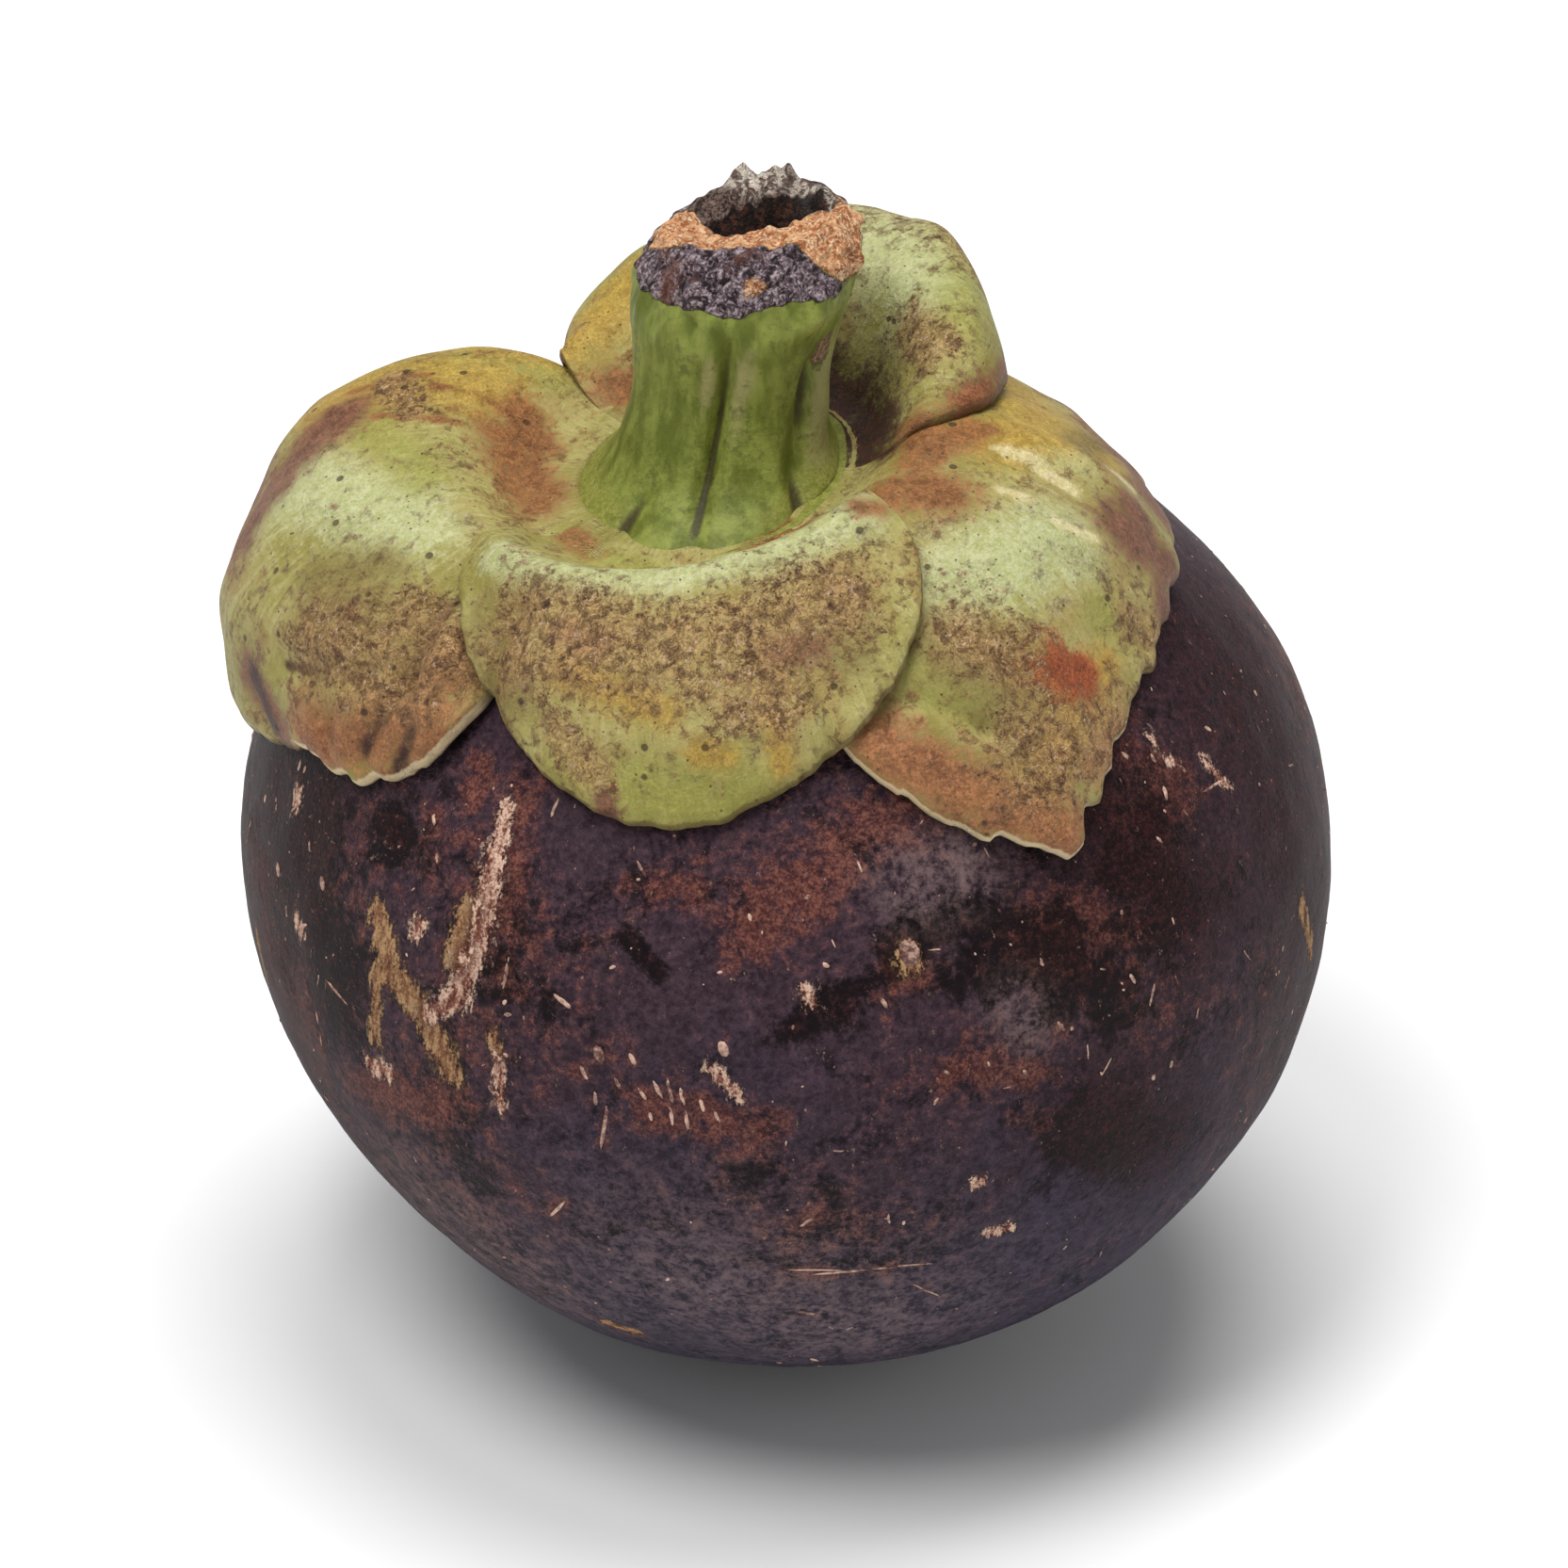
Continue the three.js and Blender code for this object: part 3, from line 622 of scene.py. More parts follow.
ROW_CROWDING = 1.5  # how much closer the rows are near the brim
DRAWN_IN = 0.35  # how far short of its rim a sepal ends, in degrees
PER_DEGREE, PER_COLUMN = 0.5, 0.3  # about how many millimetres one is, on the sepal
ROUNDED = 0.9  # how far in from the brim the edge is rounded, in millimetres
EDGE = 0.3  # how thick the very edge is, as a share of the sepal's thickness
LIP = 0.34  # the width of the line along the brim, in millimetres, pale where dry and painted shade elsewhere
BRIM_NICKS = [(3.2, 5, 0.7), (1.2, 8, 0.22)]  # size in millimetres, seed, and depth in degrees
LEATHER_LUMPS = [(7, 0, 0.5), (2.6, 3, 0.16)]  # size, seed, and height in millimetres


def calyx_direction(azimuth, polar):
    return direction(azimuth, polar) @ CALYX_TURN.T


def smooth_line(pairs, spaces):
    """Points evenly spaced along a smooth line through these pairs."""
    ends = np.array([pairs[0], *pairs, pairs[-1]], float)
    bits = []
    for before, start, end, after in zip(ends, ends[1:], ends[2:], ends[3:]):
        share = np.linspace(0, 1, 60, endpoint=False)[:, None]
        leave, arrive = (end - before) / 2, (after - start) / 2
        bits.append(
            (2 * start - 2 * end + leave + arrive) * share**3
            + (-3 * start + 3 * end - 2 * leave - arrive) * share**2
            + leave * share
            + start
        )
    line = np.concatenate([*bits, ends[-1:]])
    far = np.concatenate([[0], np.cumsum(np.linalg.norm(np.diff(line, axis=0), axis=1))])
    steps = np.linspace(0, far[-1], spaces + 1)
    return np.stack([np.interp(steps, far, line[:, part]) for part in (0, 1)], 1)


for sepal in SEPALS.values():
    sepal["line"] = smooth_line(sepal["rim"], RIM_STEPS)


def spread_of(sepal):
    """The azimuth of a sepal's middle, and how far it spreads to either side."""
    first, last = sepal["rim"][0][0], sepal["rim"][-1][0]
    return (first + last) / 2, (last - first) / 2


def place_on(sepal, azimuth, polar):
    """Where a direction falls on a sepal: across from -1 to 1, along from 0 at the root to 1 at the rim."""
    middle, half_spread = spread_of(sepal)
    turned = turned_from(middle, azimuth)
    length = np.interp(middle + turned, *sepal["line"].T) - ROOT
    return turned / half_spread, (polar - ROOT) / length, half_spread, length


def sepal_form(sepal, across, along):
    """How high a sepal's inner face is domed, and how thick the sepal is there."""
    dome, peak, crest, side, thick, thin, rise = sepal["form"]
    aside = (across - peak) / np.where(across > peak, 1 - peak, -1 - peak)
    over_length = np.sin(np.pi * along ** (math.log(0.5) / math.log(crest)))
    share = np.maximum(over_length, 0) ** np.where(along < crest, rise, 1)
    share = np.maximum(1 - np.abs(aside) ** side, 0) * share
    return dome * MM * share, (thin + (thick - thin) * share) * MM


def smooth_step(value, low, high):
    share = np.clip((value - low) / (high - low), 0, 1)
    return share * share * (3 - 2 * share)


def held_up(azimuth, polar):
    """How high off the skin the inner pair holds up whatever lies over it."""
    height = np.zeros_like(azimuth)
    for name in INNER_PAIR:
        across, along, half_spread, length = place_on(SEPALS[name], azimuth, polar)
        past_side = np.maximum(np.abs(across) - 1, 0) * half_spread * np.sin(np.radians(polar))
        past = np.hypot(past_side, np.maximum(along - 1, 0) * length)
        dome, thickness = sepal_form(SEPALS[name], np.clip(across, -1, 1), np.clip(along, 0, 1))
        cover = 1 - smooth_step(past, UNDERLAP / 3, UNDERLAP)
        height = np.maximum(height, cover * (CLEARANCE + dome + thickness))
    return height


def parted(azimuth, polar):
    """0 where the sepals are one root and 1 where each is free."""
    further, middle, spread = JOINED_FRONT
    further = further * np.exp(-((turned_from(middle, azimuth) / spread) ** 4))
    return smooth_step(polar, JOINED[0] + further, JOINED[1] + further * 0.4)


def inner_height(name, azimuth, polar, across, along):
    """How high a sepal's inner face is off the skin, and how thick it is. All four join at the root."""
    dome, thickness = sepal_form(SEPALS[name], across, along)
    under = 0 if name in INNER_PAIR else held_up(azimuth, polar)
    free = parted(azimuth, polar)
    height = ROOT_CLEARANCE + (CLEARANCE - ROOT_CLEARANCE + np.hypot(dome, under)) * free
    return height, ROOT_THICKNESS + (thickness - ROOT_THICKNESS) * free


def lumps(points, size, seed):
    """Smooth unevenness from -1 to 1, with lumps of a size in millimetres."""
    flat = points.reshape(-1, 3) / (size * MM)
    heights = [noise.noise(Vector(point) + Vector((seed, 0, 0))) for point in flat]
    return np.array(heights).reshape(points.shape[:-1])


def add_piece(name, points, faces, material):
    mesh = bpy.data.meshes.new(name)
    mesh.from_pydata(points.reshape(-1, 3).tolist(), [], faces)
    mesh.materials.append(material)
    mesh.shade_smooth()
    mesh.update()
    piece = bpy.data.objects.new(name, mesh)
    bpy.context.scene.collection.objects.link(piece)
    return piece


def sheet_faces(columns, rows):
    """The faces of a closed sheet: a grid of points for its outer face, one for its inner, and the rim."""
    at = np.arange(columns * rows).reshape(columns, rows)
    faces = []
    for side in (0, columns * rows):
        a, b, c, d = (part.ravel() + side for part in (at[:-1, :-1], at[:-1, 1:], at[1:, 1:], at[1:, :-1]))
        corners = (a, b, c, d) if side == 0 else (a, d, c, b)
        faces += np.stack(corners, 1).tolist()
    border = [*at[:-1, 0], *at[-1, :-1], *at[:0:-1, -1], *at[0, :0:-1]]
    for one, two in zip(border, border[1:] + border[:1]):
        faces.append([int(one), int(two), int(two) + columns * rows, int(one) + columns * rows])
    return faces


STAIN_REACH = 1.3  # how much further a stain fades out than its reach in the tables
NO_STAIN = (0, 0, 0, 0, 0.01)  # too small to show, for a sepal that has none of a kind
# The stains of the leather and its painted light: the darker and the lighter paint, how well they cover,
# and how much they follow the fibres. Each also shows faintly in blotches away from its places, and green
# shows only in that way.
STAINS_AND_LIGHT = {
    "green": ((92, 86, 36), (138, 132, 60), 0.85, 0.3),
    # pale is partly the leather's own colour and partly painted highlight along the crests and on lit tops
    "pale": ((176, 184, 122), (212, 214, 168), 0.8, 0.7),
    "lime": ((140, 138, 58), (172, 170, 86), 0.7, 0),
    "ochre": ((156, 120, 40), (208, 174, 80), 0.85, 0.2),
    "olive": ((100, 88, 42), (146, 128, 68), 0.75, 0.2),
    "blush": ((88, 42, 40), (150, 92, 76), 0.88, 0.8),
    "bronze": ((114, 62, 34), (172, 110, 62), 0.88, 0.2),
    "salmon": ((124, 66, 40), (188, 124, 80), 0.9, 0.4),
    "rust": ((130, 56, 28), (198, 106, 58), 0.95, 0),
    "cream": ((206, 190, 130), (232, 220, 176), 0.9, 0),
    # painted shade in folds and hollows, in the pit beside the stem and by the root
    "dusk": ((28, 12, 14), (76, 37, 32), 0.97, 0.2),
}


def make_sepal_leather():
    """Pale green over olive, finely speckled, blotched and scurfy where old or rubbed, with painted
    highlights and shade.
    """
    place, close = new_finish("Mangosteen calyx leather")
    broad = grain(place, 0.16, 3, 0.5)
    cloud = grain(place, 0.5, 5, 0.7, 0.3)
    fine = grain(place, 1.7, 5, 0.75)
    dust = grain(place, 5.5, 3, 0.7)
    lie = place.add("ShaderNodeAttribute", {"attribute_name": "lie"}, output=1)
    fibre = grain(stretched(lie, 2.6, 0.35, 1), 1.0, 4, 0.7)
    clump = grain(place.vector("ADD", (9.0, 2.0, 5.0)), 1.35, 5, 0.74, 0.4)
    mix = (fine * 0.5 + dust * 0.5).between(0.4, 0.62)
    tone = broad * 0.4 + cloud * 0.4 + fibre * 0.2
    colour = shades((148, 138, 66), (194, 186, 120), tone.between(0.4, 0.6))
    colour = lay(colour, paint(150, 120, 56), (broad * 0.5 + cloud * 0.5).between(0.48, 0.6) * 0.65)
    olive = cloud * 0.2 + clump * 0.5 + fine * 0.3
    colour = lay(colour, paint(108, 88, 44), olive.between(0.48, 0.6) * 0.65)
    colour = lay(colour, paint(212, 206, 158), (fibre * 0.4 + fine * 0.6).between(0.52, 0.66) * 0.45)
    ragged = (cloud - 0.5) * 1.5 + (fine - 0.5) * 1.5 + (dust - 0.5) * 0.6

    def stained_and_lit(colour, name):
        dark, light, cover, streaky = STAINS_AND_LIGHT[name]
        stain = (mark_strength(place, name) + ragged * 0.75 + (fibre - 0.5) * streaky).between(0.12, 0.95)
        return lay(colour, shades(dark, light, mix), stain * cover)

    for name in STAINS_AND_LIGHT:
        colour = stained_and_lit(colour, name)
    # brown scurf in short curls and clots, with paler flecks between them
    curl = (grain(place.vector("ADD", (3.0, 7.0, 1.0)), 1.7, 4, 0.7, 1.2) - 0.5).math("ABSOLUTE")
    crowd = (mark_strength(place, "scurf") + ragged * 0.6 + (clump - 0.5) * 1.8).between(0.1, 1.0)
    colour = lay(colour, shades((158, 118, 70), (208, 168, 114), mix), crowd * 0.75)
    clots = (clump * 0.5 + fine * 0.35 + dust * 0.15).between(0.5, 0.58)
    curls = curl.between(0.04, 0.01) * 0.5 + clots * 0.9
    curls = curls * (crowd * 0.85 + cloud.between(0.48, 0.62) * 0.3)
    colour = lay(colour, paint(84, 52, 36), curls * 0.72)
    flakes = (fine * 0.6 + dust * 0.4).between(0.46, 0.39)
    colour = lay(colour, paint(222, 188, 158), flakes * crowd * 0.75)
    colour = stained_and_lit(colour, "rust")  # which shows through the scurf
    # dark specks of two sizes, in some of the cells of a froth
    for scale, chosen in ((1.7, 0.5), (0.6, 0.75)):
        froth = place.add("ShaderNodeTexVoronoi", inputs={"Vector": place, "Scale": scale, "Randomness": 1})
        pick = Wire(place.tree, froth.socket.node.outputs["Color"]).parts()[0]
        speck = froth.between(0.16, 0.09) * pick.between(chosen, chosen + 0.03)
        colour = lay(colour, paint(66, 40, 24), speck * 0.8)
    # along the brim: a pale dry line where the salmon stain is, and elsewhere a dark line of painted shade
    # at the edge
    dry = mark_strength(place, "salmon").between(0.05, 0.5)
    lip = (mark_strength(place, "lip") + (fine - 0.5) * 0.9).between(0.45, 0.8)
    colour = lay(colour, shades((92, 66, 38), (228, 206, 164), dry), lip * (dry * 0.3 + 0.6))
    roughness = 0.52 + crowd * 0.12 + fine * 0.1
    relief = cloud * 0.45 + fine * 0.35 + dust * 0.1 + fibre * 0.2 + curls * 0.25 - speck * 0.3
    leather = {"Specular_IOR_Level": 0.3, "Subsurface_Weight": 0.05, "Subsurface_Scale": 2 * MM}
    return close(colour, roughness, relief, 0.4, **leather)


def spot_on(name, across, along):
    """The place on a sepal's outer face at so many hundredths across and along."""
    across, along = np.array(across / 100), np.array(along / 100)
    middle, half_spread = spread_of(SEPALS[name])
    azimuth = middle + across * half_spread
    polar = ROOT + (np.interp(azimuth, *SEPALS[name]["line"].T) - ROOT) * along
    height, thickness = inner_height(name, azimuth, polar, across, along)
    return off_skin(calyx_direction(azimuth, polar), height + thickness)


sepal_leather = make_sepal_leather()
sepal_faces = sheet_faces(SEPAL_COLUMNS + 1, SEPAL_ROWS + 1)
for name, sepal in SEPALS.items():
    # columns from under the stem out to the rim, which is nicked, and rows across them
    rim = smooth_line(sepal["rim"], SEPAL_COLUMNS)
    along_rows = 1 - np.linspace(1, 0, SEPAL_ROWS + 1) ** ROW_CROWDING
    azimuth = np.repeat(rim[:, :1], SEPAL_ROWS + 1, axis=1)
    span = rim[:, 1:] - ROOT_INSIDE
    flat_rim = np.c_[rim, 0 * rim[:, :1]] * MM
    nicks = sum(lumps(flat_rim, width, seed) * depth for width, seed, depth in BRIM_NICKS) * sepal["torn"]
    polar = ROOT_INSIDE + (span + nicks[:, None] - DRAWN_IN) * along_rows
    across, along, half_spread, length = place_on(sepal, azimuth, polar)
    along = np.clip(along, 0, 1)
    towards = calyx_direction(azimuth, polar)
    height, thickness = inner_height(name, azimuth, polar, across, along)
    middle = off_skin(towards, height + thickness)
    # the edge is rounded where the sepal is free of its root
    column = np.arange(SEPAL_COLUMNS + 1)[:, None]
    from_side = np.minimum(column, SEPAL_COLUMNS - column) * PER_COLUMN
    edge_gap = np.minimum((1 - along_rows)[None, :] * span * PER_DEGREE, from_side)
    inset = np.clip(edge_gap / ROUNDED, 0, 1)
    free = parted(azimuth, polar)
    rounding = np.maximum(np.sqrt(1 - (1 - inset) ** 2), 1 - free)
    # the leather is uneven and folded
    uneven = sum(lumps(middle, width, len(name) + seed) * rise for width, seed, rise in LEATHER_LUMPS)
    uneven = uneven * MM * free
    for a, b, c, d, depth, width in sepal["folds"]:
        fold = near(middle, spot_on(name, a, b), spot_on(name, c, d), width * MM)
        uneven = uneven - fold * depth * MM * free
    height = np.maximum(height + uneven, LEAST_GAP)
    outer = off_skin(towards, height + thickness * (EDGE + (1 - EDGE) * rounding))
    inner = off_skin(towards, height)
    piece = add_piece(name + "_leather", np.stack([outer, inner]), sepal_faces, sepal_leather)
    marks = {
        "lip": np.exp(-((edge_gap / LIP) ** 2)),
        # how far across and along in millimetres, which the fibres follow
        "lie": np.stack([across * half_spread * 0.35, (polar - ROOT) * PER_DEGREE, 0 * polar], -1),
    }
    for kind in [*STAINS_AND_LIGHT, "scurf"]:
        strokes = [NO_STAIN, *sepal["stains_and_light"].get(kind, [])]
        drawn = [
            near(middle, spot_on(name, a, b), spot_on(name, c, d), r * STAIN_REACH * MM)
            for a, b, c, d, r in strokes
        ]
        marks[kind] = np.max(drawn, axis=0)
    for kind, values in marks.items():
        mark(piece.data, kind, [values, values])  # on the outer face and on the inner
    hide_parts(name)
    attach(piece, "root")

# The stem: the short green stalk that the fruit hung by, snapped off the twig. It flares at the foot on to
# the roots of the sepals, has a furrow down the front, and ends in a thick corky collar round torn wood.
STEM = {
    "height": 15 * MM,
    "lean": (2.9 * MM, 2.4 * MM),  # to the right and to the back at the top
    "lean_curve": (0.6, 1.3),
    # share of the height, and radius in millimetres
    "profile": [
        (0, 7.6), (0.06, 7.1), (0.17, 6), (0.3, 5.6), (0.45, 5.4), (0.62, 5.8), (0.76, 6.2), (0.9, 6),
        (1, 5),
    ],
    "furrow": (0.9 * MM, 5.5, 262, 0.79),  # depth, spread, azimuth, and the share of the height at its end
    "high_side": (0.9 * MM, 6, 270),  # how much higher the top is there, how late it rises, and its azimuth
    "facets": (0.028, 4, 20),  # depth as a share of the radius, number, and the first one's azimuth
    "skirt": (16.6, 18.3),  # polar angles between which the foot runs out over the sepals' roots
    "skirt_front": (1.3, 264, 60),  # further out by so much, round this azimuth, with this spread
    # radius and depth in millimetres, from the collar in to the middle of the break
    "cut": [
        (4.6, 0), (4.2, -0.15), (3.7, -0.3), (3.2, -0.35), (2.7, -0.5), (2.1, -0.8), (1.5, -1), (0.8, -1.1),
    ],
}
STEM_AROUND, STEM_UP, SKIRT_STEPS, CUT_RINGS = 224, 120, 18, 30
FLANK_START = 0.055  # share of the height; the skirt takes the place of what is below
SOLE_RINGS = (0.4, 0.75)  # shares of the foot's radius
SKIRT_NICKS = (2.5, 31, 0.45)  # size in millimetres, seed, and depth in degrees
SIDE_END = 1.03  # how far across a sepal still bears the skirt, where 1 is its side
SKIRT_SINK, SKIRT_RISE = 0.22, 0.3  # how deep the skirt's edge lies in the sepals, and its rise from there
# Swellings and hollows of the flank: azimuth, share of the height, width in degrees, height in shares, and
# how far they stand out in millimetres.
STEM_SWELLS = [
    (306, 0.77, 13, 0.04, 0.55), (328, 0.58, 13, 0.08, -0.5), (316, 0.45, 6, 0.2, -0.4),
    (265, 0.03, 50, 0.16, 1.2), (337, 0.3, 14, 0.3, 0.45), (228, 0.1, 7, 0.14, -0.5),
    (312, 0.1, 7, 0.14, -0.5),
]
# Patches on the flank, placed in the same way, each with its strength. On the skirt the share is negative.
STEM_PATCHES = {
    "amber": [(272, 0.93, 9, 0.03, 0.85)],
    "foot": [(306, 0.76, 10, 0.035, 1), (236, -0.3, 14, 0.4, 1)],
    "scar": [(330, 0.57, 9, 0.07, 1)],
    # painted shade in the flank's dents and on the skirt
    "crease": [
        (317, 0.45, 6, 0.2, 0.9), (228, 0.08, 5, 0.1, 1), (312, 0.08, 5, 0.1, 1),
        (168, -0.7, 32, 0.16, 1.1),
    ],
    "tan": [(252, 0.6, 6, 0.13, 1), (272, 0.6, 6, 0.16, 1), (337, 0.3, 13, 0.3, 1.5)],
}
# The cork ends on top of the break at the front left, and slants down to the right, where it has broken
# away: azimuth, and the share of the height where it ends.
CORK_TOP = [
    (0, 0.8), (14, 0.88), (26, 1), (150, 1), (180, 0.94), (205, 0.98), (222, 1.1), (238, 1.22), (275, 1.22),
    (288, 1.06), (300, 0.97), (312, 0.9), (325, 0.82), (345, 0.78), (360, 0.8),
]


def stem_ring(share, radius, azimuth):
    """A ring of the stem at a share of its height. The rings are square to the calyx axis, and lean."""
    depth, spread, middle, end = STEM["furrow"]
    furrowed = np.maximum(np.sin(np.pi * share / end), 0) * (share < end)
    furrowed = np.sqrt(furrowed) * np.exp(-((turned_from(middle, azimuth) / spread) ** 2))
    radius = radius * MM - depth * furrowed
    size, count, first = STEM["facets"]
    facet = np.cos(np.radians(count * (azimuth - first))) * np.sin(np.pi * np.clip(share, 0, 1))
    radius = radius * (1 + size * facet)
    point = calyx_direction(azimuth, 90 + 0 * azimuth) * radius[..., None]
    point = point + off_skin(np.array(HOLLOW_AXIS), np.array(CLEARANCE))
    rise, curve, high = STEM["high_side"]
    point[..., 0] += STEM["lean"][0] * share ** STEM["lean_curve"][0]
    point[..., 1] += STEM["lean"][1] * share ** STEM["lean_curve"][1]
    point[..., 2] += STEM["height"] * share + rise * np.cos(np.radians(azimuth - high)) * share**curve
    return point


def sepal_top(azimuth, polar):
    """How high off the skin the sepals' outer faces are."""
    tops = []
    for name, sepal in SEPALS.items():
        across, along, _, _ = place_on(sepal, azimuth, polar)
        height, thickness = inner_height(name, azimuth, polar, np.clip(across, -1, 1), np.clip(along, 0, 1))
        tops.append((height + thickness) * (np.abs(across) < SIDE_END))
    return np.max(tops, axis=0)


def rings_faces(rings, around):
    """The faces of a closed body of rings, from the first ring's middle to the last one's."""
    at = 1 + np.arange(rings * around).reshape(rings, around)
    after = np.roll(at, -1, axis=1)
    faces = np.stack([at[:-1], after[:-1], after[1:], at[1:]], -1).reshape(-1, 4).tolist()
    faces += [[0, int(b), int(a)] for a, b in zip(at[0], after[0])]
    last = 1 + rings * around
    return faces + [[last, int(a), int(b)] for a, b in zip(at[-1], after[-1])]


def make_stem_wood():
    """Green bark, painted shade down its furrow, a mossy foot, a dark corky collar, and torn orange-brown
    wood.
    """
    place, close = new_finish("Mangosteen stem")
    broad = grain(place, 0.35, 4, 0.6)
    streak = grain(stretched(place, 1.1, 1.1, 0.32), 0.8, 4, 0.6)
    fine = grain(place, 1.9, 4, 0.7)
    dust = grain(place, 5.5, 3, 0.7)
    ragged = (fine - 0.5) * 1.4 + (broad - 0.5) * 0.6
    colour = shades((102, 111, 36), (143, 152, 68), (streak * 0.6 + broad * 0.4).between(0.4, 0.6))
    tan = (mark_strength(place, "tan") + (streak - 0.5) * 1.5 + ragged * 0.4).between(0.2, 0.9)
    colour = lay(colour, paint(166, 158, 106), tan * 0.75)
    colour = lay(colour, paint(70, 74, 30), (broad * 0.5 + fine * 0.5).between(0.52, 0.66) * 0.6)
    foot = (mark_strength(place, "foot") + ragged * 0.6).between(0.3, 0.8)
    moss = shades((116, 120, 42), (160, 158, 78), (fine * 0.5 + dust * 0.5).between(0.4, 0.62))
    colour = lay(colour, moss, foot * 0.85)
    scar = (mark_strength(place, "scar") + ragged).between(0.35, 0.7)
    colour = lay(colour, shades((112, 82, 58), (190, 150, 126), dust.between(0.4, 0.6)), scar * 0.85)
    # painted shade in the furrow, in the flank's dents and where the foot meets the sepals
    crease = (mark_strength(place, "crease") + ragged * 0.3).between(0.3, 0.9)
    colour = lay(colour, paint(52, 42, 22), crease * 0.85)
    specks = (dust * 0.6 + fine * 0.4).between(0.6, 0.68)
    colour = lay(colour, paint(64, 58, 28), specks * 0.5)
    # cork is dark in its cracks and grey on its crests, where its palest flecks are painted highlights
    cracks = grain(stretched(place, 1.3, 1.3, 0.9), 1.5, 4, 0.7, 0.8)
    cork = (mark_strength(place, "cork") + ragged * 0.5).between(0.4, 0.6)
    bark = shades((34, 22, 27), (118, 98, 106), (cracks * 0.7 + dust * 0.3).between(0.42, 0.54))
    bark = lay(bark, paint(204, 188, 190), (cracks * 0.5 + dust * 0.5).between(0.51, 0.59) * 0.85)
    bark = lay(bark, paint(116, 70, 50), broad.between(0.55, 0.66) * 0.7)
    colour = lay(colour, bark, cork)
    amber = (mark_strength(place, "amber") + ragged * 0.6).between(0.35, 0.7)
    wood = shades((164, 94, 54), (234, 174, 124), (fine * 0.6 + dust * 0.4).between(0.42, 0.56))
    wood = lay(wood, paint(250, 224, 188), (cracks * 0.4 + dust * 0.6).between(0.51, 0.59) * 0.9)
    colour = lay(colour, wood, amber * 0.95)
    torn = (mark_strength(place, "torn") + ragged * 0.5).between(0.4, 0.6)
    splinters = shades((54, 38, 36), (150, 128, 116), (cracks * 0.5 + dust * 0.5).between(0.42, 0.58))
    # the pale colour on the torn crest's high tips is a painted highlight
    tip_highlight = shades((126, 106, 96), (250, 238, 220), cracks.between(0.44, 0.55))
    splinters = lay(splinters, tip_highlight, mark_strength(place, "tips"))
    colour = lay(colour, splinters, torn)
    # painted shade in the split across the break
    dark = (mark_strength(place, "dark") + ragged * 0.5).between(0.35, 0.7)
    colour = lay(colour, shades((20, 11, 10), (84, 48, 34), fine.between(0.48, 0.62)), dark * 0.95)
    rough = cork + torn + amber * 0.6 + scar * 0.5
    roughness = rough * 0.3 + 0.5 + fine * 0.08
    relief = fine * 0.25 + streak * 0.2 + dust * 0.1 + rough * (cracks * 1.6 + dust * 0.6)
    green_wood = {"Specular_IOR_Level": 0.3, "Subsurface_Weight": 0.04, "Subsurface_Scale": 2 * MM}
    return close(colour, roughness, relief, 0.35, **green_wood)


turn = np.arange(STEM_AROUND) * 360 / STEM_AROUND
outline = smooth_line(STEM["profile"], STEM_UP)
outline = outline[outline[:, 0] > FLANK_START]
# the rings run from the sole over the skirt and up the flank to the break; the share of the height is -1 at
# the sole and the skirt's edge, 0 at the foot of the flank and 1 at the collar's edge, and rises to 2 on top
rings, shares = [], []
for part in SOLE_RINGS:
    under = stem_ring(0, part * STEM["profile"][0][1], turn) - HEART
    under = under / np.linalg.norm(under, axis=1, keepdims=True)
    rings.append(off_skin(under, np.full(STEM_AROUND, CLEARANCE)))
    shares.append(-1)
inside, outside = STEM["skirt"]
further, middle, spread = STEM["skirt_front"]
outside = outside + further * np.exp(-((turned_from(middle, turn) / spread) ** 2))
width, seed, depth = SKIRT_NICKS
outside = outside + lumps(direction(turn, 90 + 0 * turn) * 6 * MM, width, seed) * depth
flank = stem_ring(*outline[0], turn)
for step in range(SKIRT_STEPS):
    share = step / SKIRT_STEPS
    out = outside + (inside - outside) * share
    lifted = (smooth_step(share, 0, 0.3) * SKIRT_RISE - SKIRT_SINK) * MM
    on = off_skin(calyx_direction(turn, out), sepal_top(turn, np.maximum(out, ROOT + 0.1)) + lifted)
    rings.append(on + (flank - on) * share**2)
    shares.append(share - 1)
for share, radius in outline:
    rings.append(stem_ring(share, radius, turn))
    shares.append(share)
for radius, depth in smooth_line(STEM["cut"], CUT_RINGS):
    rings.append(stem_ring(1, radius, turn) + np.array([0, 0, depth * MM]))
    shares.append(2 - radius / STEM["profile"][-1][1])
rings, shares = np.array(rings), np.array(shares)[:, None] + 0 * turn
from_furrow = turned_from(STEM["furrow"][2], turn)
coarse, sharp = lumps(rings, 1.5, 3), lumps(rings, 0.7, 9)
tall = lumps(rings * np.array([1, 1, 0.3]), 1.3, 14)
on_top = smooth_step(shares, 0.97, 1.05)
collar = smooth_step(shares, 0.74, 0.82) * (1 - on_top)
# a split runs across the break, thin at the left, and behind it the wood is torn up into a ragged crest;
# these places are in millimetres to the right and to the back of the middle of the break
aside, back, _ = np.moveaxis((rings - rings[-1].mean(axis=0)) / MM, -1, 0)
behind = back - 1.0 + aside * 0.15 + coarse * 0.5
past_edge = smooth_step(behind, 0, 0.3)
narrow = 0.45 + 0.55 * smooth_step(aside + sharp, -3.2, 0.5)
within = smooth_step(aside + coarse, -3.4, -2.0) * (1 - smooth_step(aside + coarse, 3.6, 4.6))
within = on_top * within * past_edge
split = within * (1 - smooth_step(behind / narrow, 0.9, 1.7))
